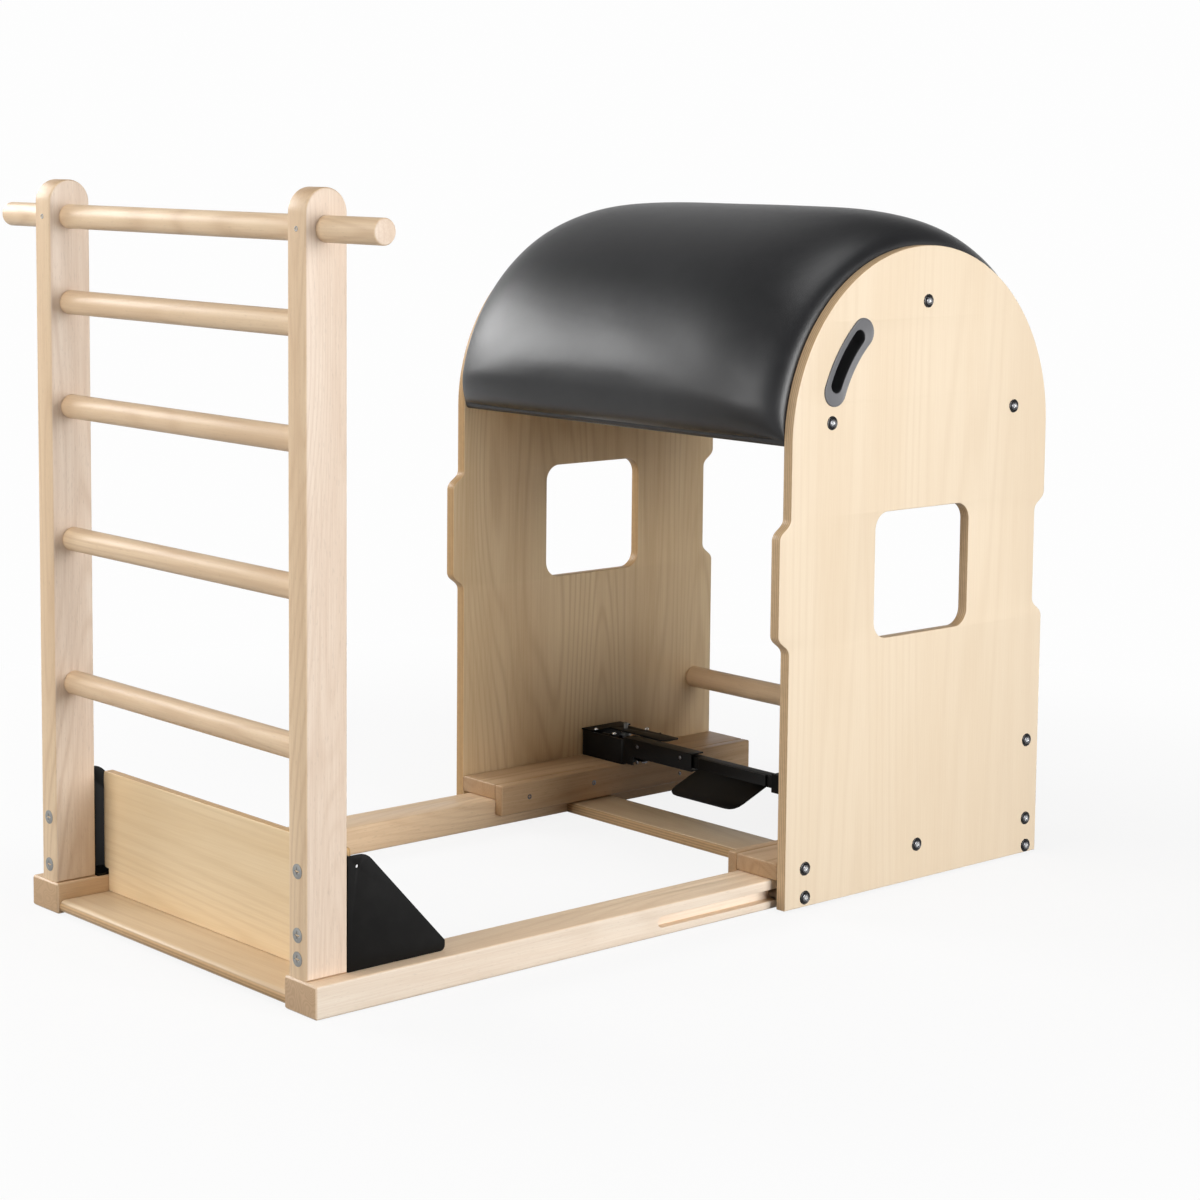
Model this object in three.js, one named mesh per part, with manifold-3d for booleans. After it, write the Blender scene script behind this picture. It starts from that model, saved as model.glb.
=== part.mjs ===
// Pilates ladder barrel: a wooden ladder stands on two floor rails, and an upholstered barrel slides along them.
// Millimetres. +X runs along the rails from the ladder to the barrel, +Y across to the far side, +Z up.
// The origin lies on the floor in the middle of the footprint. Near is the -Y side and far the +Y side.
// Every piece of a pair is drawn on the far side, and its near twin is its mirror image.
import * as THREE from "three";
import { mergeVertices } from "three/addons/utils/BufferGeometryUtils.js";
import Module from "manifold-3d";

// Clearances
const SEAT_GAP = 0.3; // between pieces that touch
const RUNNING_GAP = 0.5; // between pieces that slide on each other
const CUT_OVERRUN = 6; // how far a cutter runs past the wall it cuts
const WOOD_SOFTENING = 2.5; // rounding of solid wood edges
const PLY_SOFTENING = 1.2; // rounding of plywood edges

// Floor rails
const BASE_WIDTH = 701; // over the outer faces of the rails
const RAIL_LENGTH = 1350;
const RAIL_WIDTH = 70;
const RAIL_HEIGHT = 44;
const RAIL_CORNER = 4;
const GROOVE_HEIGHT = 17;
const GROOVE_DEPTH = 14;
const GROOVE_RISE = 12; // floor to the lower lip of the groove

// Boards between the rails
const PLANK_DEPTH = 101;
const PLANK_THICKNESS = 18;
const PLANK_RISE = 2;
const PLANK_SETBACK = 3;
const CROSS_BOARD_DEPTH = 87;
const CROSS_BOARD_THICKNESS = 17.5;
const CROSS_BOARD_RISE = 0.5;
const CROSS_BOARD_SETBACK = 962; // rail front to the board's front edge
const KICK_THICKNESS = 14;
const KICK_SETBACK = 17; // behind the uprights
const KICK_HEIGHT = 152; // above the rails
const KICK_OVERLAP = 5; // past the uprights' inner faces
const KICK_CORNER = 5;
const KICK_NOTCH_RISE = 9; // above the rails

// Ladder
const LADDER_HEIGHT = 1047;
const UPRIGHT_THICKNESS = 40;
const UPRIGHT_DEPTH = 64;
const UPRIGHT_SETBACK = 3; // behind the rail's front end
const UPRIGHT_INSET = 24; // from the rail's outer face
const RUNG_DIAMETER = 34;
const RUNG_HEIGHT_SHARES = [0.3173, 0.5148, 0.6953, 0.8358, 0.9507]; // of the ladder's height
const RUNG_SOCKET_DEPTH = 26;
const RUNG_END_CHAMFER = 3;
const TOP_RUNG_OVERHANG = 120;

// Gussets and the screws that pull the uprights against them
const GUSSET_SHEET = 3;
const GUSSET_LENGTH = 158;
const GUSSET_HEIGHT = 152;
const GUSSET_SHOULDER = 30; // flat top before the slope
const GUSSET_NOSE = 14; // upright tip at the far end of the slope
const GUSSET_TOP_RADIUS = 26;
const GUSSET_NOSE_RADIUS = 8;
const GUSSET_BACK_FLANGE = 34; // flange against the upright
const GUSSET_FOOT_FLANGE = 44; // flange on the rail
const GUSSET_HOLE_DIAMETER = 5;
const GUSSET_HOLE_INSET = 15;
const SCREW_HEAD_DIAMETER = 21;
const SCREW_HEAD_RISE = 2.4; // dome above the wood
const SCREW_HEAD_SEAT = 2.6; // depth of the countersink
const SCREW_SHANK_DIAMETER = 8;
const NEAR_SCREW_RISES = [26, 57, 140]; // above the rail
const FAR_SCREW_RISES = [24, 93];

// Barrel panels
const PANEL_FRONT = 807; // rail front to the panel's front edge
const PANEL_STANDOFF = 12.5; // rail's outer face to the panel
const PANEL_LENGTH = 560;
const PANEL_THICKNESS = 18;
const PANEL_RISE = 3; // above the floor
const ARCH_RISE = 680; // floor to the centre of the arch
const BAND_SHARES = [0.6, 0.8]; // of the arch's rise: the band between them is shifted towards the ladder
const BAND_BLEND = 31; // height of the curve into and out of the band
const BAND_SHIFT = 22;
const WINDOW_WIDTH = 206;
const WINDOW_HEIGHT = 188;
const WINDOW_RADIUS = 26;
const REAR_RUNG_DIAMETER = 36;
const REAR_RUNG_INSET = 42; // panel's rear edge to the rung's centre
const REAR_RUNG_RISE = 173;

// Handle recesses in the panels, on an arc round the centre of the arch
const HANDLE_ARC_RADIUS = 209;
const HANDLE_SLOT_WIDTH = 18;
const HANDLE_FLANGE_WIDTH = 37;
const HANDLE_FLANGE_RISE = 2;
const HANDLE_WALL = 3;
const HANDLE_DEPTH = 34;
const HANDLE_START_DEGREES = 134;
const HANDLE_END_DEGREES = 157.5;

// Runners: a block on the rail, a keeper inside it and a tongue in the groove outside it
const RUNNER_HEIGHT = 25;
const KEEPER_THICKNESS = 18;
const KEEPER_RISE = 20; // floor to the keeper's lower edge
const TONGUE_HEIGHT = 15;
const TONGUE_REACH = 12; // into the groove
const TONGUE_INSET = 8; // from the panel's front edge
const HOLE_PITCH = 45; // between the lock positions
const LOCK_POSITIONS = 6;
const HOLE_DIAMETER = 11;
const HOLE_DEPTH = 14;
const SLIDE_END_GAP = 4; // left between tongue and groove end at full travel

// Barrel top: spreaders, a bent deck and the pad
const DECK_THICKNESS = 12;
const PAD_SIDE_THICKNESS = 22;
const PAD_SINK = 2; // pad edge below the panel edge
const PAD_CROWN = 52; // middle of the pad above the panel edge
const PAD_CROWN_POWER = 5;
const PAD_TAPER_DEGREES = 15; // the crown grows over this angle from each lower edge
const PAD_DROP = 4; // lower edges below the centre of the arch
const PAD_STATIONS = 40;
const PAD_COLUMNS = 18;
const SPREADER_RADIUS = 204; // arch centre to the spreader bolts
const SPREADER_THICKNESS = 38;
const SPREADER_DEGREES = { front: 170, top: 90, rear: 10 };

// Lock: a foot pedal turns a bar, whose cranks hold two sprung pins clear of the rails or let them down
const SHEET = 2.5;
const HOUSING_SETBACK = 258; // behind the panel's front edge
const HOUSING_LENGTH = 88;
const HOUSING_HEIGHT = 42.4;
const HOUSING_OVERHANG = 22; // past the runner block's inner edge
const HOUSING_CORNER = 6;
const PIVOT_SETBACK = 16; // behind the housing's front
const PIVOT_RISE = 32; // above the runner block
const BAR_SIZE = 20;
const BAR_CORNER = 2;
const JOURNAL_DIAMETER = 14;
const BUSH_WALL = 3.2;
const BUSH_LENGTH = 9;
const BUSH_CLEARANCE = 0.3;
const BRACKET_CLEARANCE = 2.5; // round the bar
const BRACKET_START = 92; // centre line to the bracket's inner end
const BRACKET_FOOT = 24; // length of the foot beside the housing
const BRACKET_FOOT_DROP = 14;
const PEDAL_WIDTH = 155;
const PEDAL_LENGTH = 76;
const PEDAL_SLOPE_DEGREES = 22;
const PEDAL_SHEET = 3;
const PEDAL_FLANGE = 20;
const PEDAL_CORNER = 22;
const CRANK_REACH = 42; // bar to shoe pin, measured along X
const CRANK_DROP_DEGREES = 3;
const CRANK_HUB_WALL = 3.1;
const CRANK_PRONG = 4;
const CRANK_NOSE_RADIUS = 4;
const CRANK_ARM_TOP = 1; // arm's top edge above the line from bar to nose
const PIN_DIAMETER = 10;
const PIN_STEM_DIAMETER = 8;
const PIN_COLLAR_DIAMETER = 20;
const PIN_COLLAR_THICKNESS = 3;
const PIN_TOP_RISE = 9.5; // above the strap
const PIN_CHAMFER = 1;
const PIN_BUSH_WALL = 2.2;
const PIN_BUSH_FLANGE = 2;
const PIN_BUSH_FLANGE_DIAMETER = 24;
const STRAP_LEG = 27; // width of the strap along the panel
const STRAP_ARM = 34; // width of the arm across the pin
const STRAP_TAB = 59; // arm past the housing
const STRAP_CORNER = 6;
const SPRING_WIRE = 1.2;
const SPRING_DIAMETER = 14.2;
const SPRING_TURNS = 3;
const SPRING_STEPS = 8; // per turn
const SPRING_SIDES = 5;

// Facets
const ROUND = 28; // sides of a rung
const SMALL_ROUND = 16; // sides of a pin or a screw
const CORNER_STEPS = 4;
const ARC_STEPS = 8; // in a small half circle
const ARCH_STEPS = 48;

// Places that several pieces share
const RAIL_OUTER = BASE_WIDTH / 2;
const RAIL_INNER = RAIL_OUTER - RAIL_WIDTH;
const RAIL_MIDDLE = (RAIL_OUTER + RAIL_INNER) / 2;
const UPRIGHT_OUTER = RAIL_OUTER - UPRIGHT_INSET;
const UPRIGHT_INNER = UPRIGHT_OUTER - UPRIGHT_THICKNESS;
const UPRIGHT_MIDDLE = (UPRIGHT_OUTER + UPRIGHT_INNER) / 2;
const UPRIGHT_FOOT = RAIL_HEIGHT + SEAT_GAP;
const UPRIGHT_BACK = UPRIGHT_SETBACK + UPRIGHT_DEPTH;
const RUNG_X = UPRIGHT_SETBACK + UPRIGHT_DEPTH / 2;
const RUNG_RADIUS = RUNG_DIAMETER / 2;
const GUSSET_FRONT = UPRIGHT_BACK + SEAT_GAP;
const PLANK_TOP = PLANK_RISE + PLANK_THICKNESS;
const KICK_FRONT = UPRIGHT_BACK + KICK_SETBACK;
const PANEL_INNER = RAIL_OUTER + PANEL_STANDOFF;
const PANEL_OUTER = PANEL_INNER + PANEL_THICKNESS;
const PANEL_REAR = PANEL_FRONT + PANEL_LENGTH;
const ARCH_X = PANEL_FRONT + PANEL_LENGTH / 2;
const ARCH_RADIUS = PANEL_LENGTH / 2;
const [BAND_LOW, BAND_HIGH] = BAND_SHARES.map((share) => share * ARCH_RISE);
const CARRIAGE_INNER = PANEL_INNER - SEAT_GAP; // what is fixed to the panel's inner face ends here
const RUNNER_FOOT = RAIL_HEIGHT + RUNNING_GAP;
const RUNNER_TOP = RUNNER_FOOT + RUNNER_HEIGHT;
const RUNNER_INNER = RAIL_INNER - RUNNING_GAP;
const TONGUE_FRONT = PANEL_FRONT + TONGUE_INSET;
const PAD_EDGE_RADIUS = ARCH_RADIUS - PAD_SINK;
const DECK_OUTER = PAD_EDGE_RADIUS - PAD_SIDE_THICKNESS;
const DECK_INNER = DECK_OUTER - DECK_THICKNESS;
const PAD_END_ANGLE = Math.asin(PAD_DROP / ARCH_RADIUS);
const HOUSING_FRONT = PANEL_FRONT + HOUSING_SETBACK;
const HOUSING_FOOT = RUNNER_TOP + SEAT_GAP;
const HOUSING_TOP = HOUSING_FOOT + HOUSING_HEIGHT;
const HOUSING_INNER = RUNNER_INNER - HOUSING_OVERHANG;
const PIVOT_X = HOUSING_FRONT + PIVOT_SETBACK;
const PIVOT_Z = RUNNER_TOP + PIVOT_RISE;
const JOURNAL_RADIUS = JOURNAL_DIAMETER / 2;
const BUSH_INNER = JOURNAL_RADIUS + BUSH_CLEARANCE;
const BUSH_OUTER = BUSH_INNER + BUSH_WALL;
const BUSH_START = HOUSING_INNER - BUSH_LENGTH / 2 + SHEET / 2;
const BAR_HALF_LENGTH = BUSH_START - RUNNING_GAP;
const JOURNAL_END = CARRIAGE_INNER - RUNNING_GAP;
const PIN_X = PIVOT_X + CRANK_REACH;
const PIN_RADIUS = PIN_DIAMETER / 2;
const PIN_STEM_RADIUS = PIN_STEM_DIAMETER / 2;
const PIN_FOOT = RAIL_HEIGHT + RUNNING_GAP;
const PIN_BUSH_INNER = PIN_RADIUS + BUSH_CLEARANCE;
const PIN_BUSH_OUTER = PIN_BUSH_INNER + PIN_BUSH_WALL;
const CRANK_DROP = THREE.MathUtils.degToRad(CRANK_DROP_DEGREES);
const CRANK_LENGTH = CRANK_REACH / Math.cos(CRANK_DROP);
const CRANK_NOSE_Z = PIVOT_Z - CRANK_REACH * Math.tan(CRANK_DROP);
const COLLAR_FOOT = CRANK_NOSE_Z + CRANK_NOSE_RADIUS + SEAT_GAP;
const COLLAR_TOP = COLLAR_FOOT + PIN_COLLAR_THICKNESS;
const STRAP_FOOT = HOUSING_TOP + SEAT_GAP;
const STRAP_TOP = STRAP_FOOT + SHEET;
const SLIDE_TRAVEL = HOLE_PITCH * (LOCK_POSITIONS - 1);
const RUNG_SOCKET_END = UPRIGHT_INNER + RUNG_SOCKET_DEPTH;

const wasm = await Module();
wasm.setup();

// Solids: a closed mesh becomes one that can be joined and cut, and comes back as faces
function solidOf(geometry) {
  const bare = geometry.clone();
  bare.deleteAttribute("normal");
  bare.deleteAttribute("uv");
  const merged = mergeVertices(bare);
  const vertProperties = merged.getAttribute("position").array;
  const triVerts = Uint32Array.from(merged.getIndex().array);
  return new wasm.Manifold(new wasm.Mesh({ numProp: 3, vertProperties, triVerts }));
}

function geometryOf(solid) {
  const { vertProperties, triVerts } = solid.getMesh();
  const geometry = new THREE.BufferGeometry();
  geometry.setAttribute("position", new THREE.BufferAttribute(vertProperties, 3));
  geometry.setIndex(new THREE.BufferAttribute(triVerts, 1));
  const faces = geometry.toNonIndexed();
  faces.computeVertexNormals();
  return faces;
}

function join(...geometries) {
  return geometryOf(geometries.map(solidOf).reduce((whole, piece) => whole.add(piece)));
}

function cut(geometry, ...cutters) {
  const solid = cutters.map(solidOf).reduce((whole, cutter) => whole.subtract(cutter), solidOf(geometry));
  return geometryOf(solid);
}

// Extrusions: an outline is drawn in the two axes square to the one it runs along, in X, Y, Z order
const DRAWN_ACROSS = {
  X: new THREE.Matrix4().makeBasis(
    new THREE.Vector3(0, 1, 0),
    new THREE.Vector3(0, 0, 1),
    new THREE.Vector3(1, 0, 0),
  ),
  Y: new THREE.Matrix4().makeBasis(
    new THREE.Vector3(1, 0, 0),
    new THREE.Vector3(0, 0, 1),
    new THREE.Vector3(0, -1, 0),
  ),
  Z: new THREE.Matrix4(),
};

function extrude(outline, axis, from, to, softening = 0, curveSegments = CORNER_STEPS) {
  const geometry = new THREE.ExtrudeGeometry(outline, {
    depth: to - from - 2 * softening,
    bevelEnabled: softening > 0,
    bevelThickness: softening,
    bevelSize: softening,
    bevelOffset: -softening,
    bevelSegments: 1,
    curveSegments,
  });
  geometry.translate(0, 0, softening).applyMatrix4(DRAWN_ACROSS[axis]);
  if (axis === "X") return geometry.translate(from, 0, 0);
  if (axis === "Y") return geometry.translate(0, to, 0);
  return geometry.translate(0, 0, from);
}

// A closed outline through corner points [a, b, radius], each rounded by its radius
function outlineOf(corners) {
  const outline = new THREE.Shape();
  corners.forEach(([a, b, radius = 0], index) => {
    const corner = new THREE.Vector2(a, b);
    const [beforeA, beforeB] = corners.at(index - 1);
    const [afterA, afterB] = corners[(index + 1) % corners.length];
    const back = new THREE.Vector2(beforeA, beforeB).sub(corner).normalize();
    const onward = new THREE.Vector2(afterA, afterB).sub(corner).normalize();
    const halfAngle = Math.acos(back.dot(onward)) / 2;
    const reach = radius / Math.tan(halfAngle);
    const start = corner.clone().addScaledVector(back, reach);
    const end = corner.clone().addScaledVector(onward, reach);
    if (index === 0) outline.moveTo(start.x, start.y);
    else outline.lineTo(start.x, start.y);
    if (radius > 0) outline.quadraticCurveTo(corner.x, corner.y, end.x, end.y);
  });
  outline.closePath();
  return outline;
}

function rectangle(lowA, lowB, highA, highB, radius = 0) {
  return outlineOf([
    [lowA, lowB, radius],
    [highA, lowB, radius],
    [highA, highB, radius],
    [lowA, highB, radius],
  ]);
}

// A board or block with softened edges, given by its lowest and highest corners
function board(axis, low, high, softening, corner = 0) {
  const across = { X: [1, 2], Y: [0, 2], Z: [0, 1] }[axis];
  const along = { X: 0, Y: 1, Z: 2 }[axis];
  const [a, b] = across;
  const outline = rectangle(low[a], low[b], high[a], high[b], corner);
  return extrude(outline, axis, low[along], high[along], softening);
}

// A turned piece: profile points [radius, place along the axis] from one end on the axis to the other
const TURNED_ALONG = {
  X: new THREE.Matrix4().makeRotationZ(-Math.PI / 2),
  Y: new THREE.Matrix4(),
  Z: new THREE.Matrix4().makeRotationX(Math.PI / 2),
};

function turned(axis, profile, sides, x, y, z) {
  const points = profile.map(([radius, place]) => new THREE.Vector2(radius, place));
  const geometry = new THREE.LatheGeometry(points, sides);
  return geometry.applyMatrix4(TURNED_ALONG[axis]).translate(x, y, z);
}

function rod(axis, radius, from, to, sides, x, y, z, chamfer = 0) {
  const profile = [
    [0, from],
    [radius - chamfer, from],
    [radius, from + chamfer],
    [radius, to - chamfer],
    [radius - chamfer, to],
    [0, to],
  ];
  const distinct = chamfer > 0 ? profile : [profile[0], profile[2], profile[3], profile[5]];
  return turned(axis, distinct, sides, x, y, z);
}

// A closed body through a row of rings of [x, y, z] points, its two end rings closed by fans
function loft(rings) {
  const size = rings[0].length;
  const last = (rings.length - 1) * size;
  const faces = [];
  for (let start = 0; start < last; start += size) {
    for (let step = 0; step < size; step++) {
      const here = start + step;
      const beside = start + ((step + 1) % size);
      faces.push(here, beside, here + size, beside, beside + size, here + size);
    }
  }
  for (let step = 1; step < size - 1; step++) {
    faces.push(size - 1, step, step - 1);
    faces.push(last + size - 1, last + step - 1, last + step);
  }
  const geometry = new THREE.BufferGeometry();
  geometry.setAttribute("position", new THREE.Float32BufferAttribute(rings.flat(2), 3));
  geometry.setIndex(faces);
  return geometry;
}

// Scene: every piece is one named mesh with its own material
const FINISH = {
  beech: { color: 0xecd7b4, roughness: 0.55, metalness: 0 },
  ply: { color: 0xf6e3c3, roughness: 0.5, metalness: 0 },
  leather: { color: 0x2b2b2d, roughness: 0.5, metalness: 0 },
  blackSteel: { color: 0x17171a, roughness: 0.45, metalness: 0.3 },
  brightSteel: { color: 0xc9cbce, roughness: 0.28, metalness: 1 },
  greyPlastic: { color: 0x77777c, roughness: 0.45, metalness: 0 },
  nylon: { color: 0x2c2c2e, roughness: 0.6, metalness: 0 },
};
const FAR = 1;
const NEAR = -1;
const ladderBarrel = new THREE.Group();

function add(name, finish, geometry, side = FAR) {
  const mesh = new THREE.Mesh(geometry, new THREE.MeshStandardMaterial(FINISH[finish]));
  mesh.name = name;
  mesh.scale.y = side;
  ladderBarrel.add(mesh);
}

function addPair(name, finish, geometry) {
  add(`${name}_near`, finish, geometry, NEAR);
  add(`${name}_far`, finish, geometry, FAR);
}

// Outline in X and Z of a bar with a round front end, such as the groove and the tongue in it
function roundFrontBar(front, rear, low, high) {
  const radius = (high - low) / 2;
  const outline = new THREE.Shape();
  outline.moveTo(front + radius, low);
  outline.lineTo(rear, low);
  outline.lineTo(rear, high);
  outline.lineTo(front + radius, high);
  outline.absarc(front + radius, low + radius, radius, Math.PI / 2, 1.5 * Math.PI, false);
  return outline;
}

// A round piece or bore on the lock pin's axis
function onPinAxis(radius, from, to) {
  return rod("Z", radius, from, to, SMALL_ROUND, PIN_X, RAIL_MIDDLE, 0);
}

// Bore for the pin's bush through the pieces between two heights
function bushBore(from, to) {
  return onPinAxis(PIN_BUSH_OUTER + SEAT_GAP, from - CUT_OVERRUN, to + CUT_OVERRUN);
}

// Floor rail: a softened bar, grooved for the tongue along its outer face, with the pin holes in its top
function railGeometry() {
  const low = [0, RAIL_INNER, 0];
  const high = [RAIL_LENGTH, RAIL_OUTER, RAIL_HEIGHT];
  const bar = board("X", low, high, WOOD_SOFTENING, RAIL_CORNER);
  const grooveFront = TONGUE_FRONT - SLIDE_TRAVEL - SLIDE_END_GAP;
  const grooveTop = GROOVE_RISE + GROOVE_HEIGHT;
  const groove = roundFrontBar(grooveFront, RAIL_LENGTH + CUT_OVERRUN, GROOVE_RISE, grooveTop);
  const grooveCutter = extrude(groove, "Y", RAIL_OUTER - GROOVE_DEPTH, RAIL_OUTER + CUT_OVERRUN);
  const holes = Array.from({ length: LOCK_POSITIONS }, (_, position) => {
    const hole = onPinAxis(HOLE_DIAMETER / 2, RAIL_HEIGHT - HOLE_DEPTH, RAIL_HEIGHT + CUT_OVERRUN);
    return hole.translate(-position * HOLE_PITCH, 0, 0);
  });
  return cut(bar, grooveCutter, ...holes);
}

// Foot plank with a bullnose front edge, between the rails
function plankGeometry() {
  const rear = PLANK_SETBACK + PLANK_DEPTH;
  const profile = roundFrontBar(PLANK_SETBACK, rear, PLANK_RISE, PLANK_TOP);
  const halfWidth = RAIL_INNER - SEAT_GAP;
  return extrude(profile, "Y", -halfWidth, halfWidth, 0, ARC_STEPS);
}

function crossBoardGeometry() {
  const halfWidth = RAIL_INNER - SEAT_GAP;
  const low = [CROSS_BOARD_SETBACK, -halfWidth, CROSS_BOARD_RISE];
  const rear = CROSS_BOARD_SETBACK + CROSS_BOARD_DEPTH;
  const high = [rear, halfWidth, CROSS_BOARD_RISE + CROSS_BOARD_THICKNESS];
  return board("Y", low, high, 0, PLY_SOFTENING);
}

// Kick board: stands on the plank behind the uprights, and steps out over the rails
function kickBoardGeometry() {
  const wide = UPRIGHT_INNER + KICK_OVERLAP;
  const narrow = RAIL_INNER - SEAT_GAP;
  const foot = PLANK_TOP + SEAT_GAP;
  const notch = RAIL_HEIGHT + KICK_NOTCH_RISE;
  const top = RAIL_HEIGHT + KICK_HEIGHT;
  const outline = outlineOf([
    [-narrow, foot],
    [narrow, foot],
    [narrow, notch],
    [wide, notch, KICK_CORNER],
    [wide, top, KICK_CORNER],
    [-wide, top, KICK_CORNER],
    [-wide, notch, KICK_CORNER],
    [-narrow, notch],
  ]);
  return extrude(outline, "X", KICK_FRONT, KICK_FRONT + KICK_THICKNESS, PLY_SOFTENING);
}

// Upright: a softened post with a half-round top, rung sockets, and bores for its screws
function uprightGeometry(screwRises) {
  const topCentre = LADDER_HEIGHT - UPRIGHT_DEPTH / 2;
  const outline = new THREE.Shape();
  outline.moveTo(UPRIGHT_SETBACK, UPRIGHT_FOOT);
  outline.lineTo(UPRIGHT_BACK, UPRIGHT_FOOT);
  outline.lineTo(UPRIGHT_BACK, topCentre);
  outline.absarc(RUNG_X, topCentre, UPRIGHT_DEPTH / 2, 0, Math.PI, false);
  outline.closePath();
  const post = extrude(outline, "Y", UPRIGHT_INNER, UPRIGHT_OUTER, WOOD_SOFTENING, SMALL_ROUND);
  const sockets = RUNG_HEIGHT_SHARES.map((share, index) => {
    const isTop = index === RUNG_HEIGHT_SHARES.length - 1;
    const end = isTop ? UPRIGHT_OUTER + CUT_OVERRUN : RUNG_SOCKET_END;
    const radius = RUNG_RADIUS + SEAT_GAP;
    return rod("Y", radius, UPRIGHT_INNER - CUT_OVERRUN, end, ROUND, RUNG_X, 0, share * LADDER_HEIGHT);
  });
  return cut(post, ...sockets, ...screwRises.flatMap(screwBores));
}

// Domed screw from the upright's front face into the gusset's flange
function screwGeometry(rise) {
  const shank = SCREW_SHANK_DIAMETER / 2;
  const head = SCREW_HEAD_DIAMETER / 2;
  const crown = UPRIGHT_SETBACK - SCREW_HEAD_RISE;
  const seat = UPRIGHT_SETBACK + SCREW_HEAD_SEAT;
  const end = GUSSET_FRONT + GUSSET_SHEET;
  const profile = [
    [0, crown],
    [head / 2, crown],
    [head, UPRIGHT_SETBACK],
    [head, seat],
    [shank, seat],
    [shank, end],
    [0, end],
  ];
  return turned("X", profile, SMALL_ROUND, 0, UPRIGHT_MIDDLE, RAIL_HEIGHT + rise);
}

function screwBores(rise) {
  const bore = (diameter, from, to) => {
    const radius = diameter / 2 + SEAT_GAP;
    return rod("X", radius, from, to, SMALL_ROUND, 0, UPRIGHT_MIDDLE, RAIL_HEIGHT + rise);
  };
  const seat = UPRIGHT_SETBACK + SCREW_HEAD_SEAT + SEAT_GAP;
  const end = GUSSET_FRONT + GUSSET_SHEET + CUT_OVERRUN;
  return [bore(SCREW_HEAD_DIAMETER, -CUT_OVERRUN, seat), bore(SCREW_SHANK_DIAMETER, 0, end)];
}

function rungGeometry(share, halfLength) {
  const height = share * LADDER_HEIGHT;
  return rod("Y", RUNG_RADIUS, -halfLength, halfLength, ROUND, RUNG_X, 0, height, RUNG_END_CHAMFER);
}

// Rung between the panels, near the rear of the barrel's foot
function rearRungGeometry() {
  const x = PANEL_REAR - REAR_RUNG_INSET;
  return rod("Y", REAR_RUNG_DIAMETER / 2, -CARRIAGE_INNER, CARRIAGE_INNER, ROUND, x, 0, REAR_RUNG_RISE);
}

// Gusset: a folded triangle of sheet steel, flanged against the upright and on the rail
function gussetGeometry(screwRises) {
  const rear = GUSSET_FRONT + GUSSET_LENGTH;
  const foot = RAIL_HEIGHT + SEAT_GAP;
  const top = foot + GUSSET_HEIGHT;
  const web = outlineOf([
    [GUSSET_FRONT, foot],
    [rear, foot, GUSSET_NOSE_RADIUS],
    [rear, foot + GUSSET_NOSE, GUSSET_NOSE_RADIUS / 2],
    [GUSSET_FRONT + GUSSET_SHOULDER, top, GUSSET_TOP_RADIUS],
    [GUSSET_FRONT, top],
  ]);
  const webPlate = extrude(web, "Y", UPRIGHT_OUTER - GUSSET_SHEET, UPRIGHT_OUTER);
  const backLow = [GUSSET_FRONT, UPRIGHT_OUTER - GUSSET_BACK_FLANGE, foot];
  const backHigh = [GUSSET_FRONT + GUSSET_SHEET, UPRIGHT_OUTER, top];
  const footLow = [GUSSET_FRONT, UPRIGHT_OUTER - GUSSET_FOOT_FLANGE, foot];
  const footHigh = [rear - GUSSET_NOSE_RADIUS, UPRIGHT_OUTER, foot + GUSSET_SHEET];
  const flanges = [board("X", backLow, backHigh, 0), board("X", footLow, footHigh, 0)];
  const holeX = GUSSET_FRONT + GUSSET_HOLE_INSET;
  const holeRadius = GUSSET_HOLE_DIAMETER / 2;
  const holeStart = UPRIGHT_OUTER - GUSSET_SHEET - CUT_OVERRUN;
  const holeEnd = UPRIGHT_OUTER + CUT_OVERRUN;
  const holeZ = top - GUSSET_HOLE_INSET;
  const hole = rod("Y", holeRadius, holeStart, holeEnd, SMALL_ROUND, holeX, 0, holeZ);
  return cut(join(webPlate, ...flanges), hole, ...screwRises.flatMap(screwBores));
}

// Curved slot round the centre of the arch, as the handle has, in X and Z
function arcSlot(halfWidth) {
  const start = THREE.MathUtils.degToRad(HANDLE_START_DEGREES);
  const end = THREE.MathUtils.degToRad(HANDLE_END_DEGREES);
  const outline = new THREE.Shape();
  const capAt = (angle, from) => {
    const x = ARCH_X + HANDLE_ARC_RADIUS * Math.cos(angle);
    const z = ARCH_RISE + HANDLE_ARC_RADIUS * Math.sin(angle);
    outline.absarc(x, z, halfWidth, from, from + Math.PI, false);
  };
  outline.absarc(ARCH_X, ARCH_RISE, HANDLE_ARC_RADIUS + halfWidth, start, end, false);
  capAt(end, end);
  outline.absarc(ARCH_X, ARCH_RISE, HANDLE_ARC_RADIUS - halfWidth, end, start, true);
  capAt(start, start + Math.PI);
  return outline;
}

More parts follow.
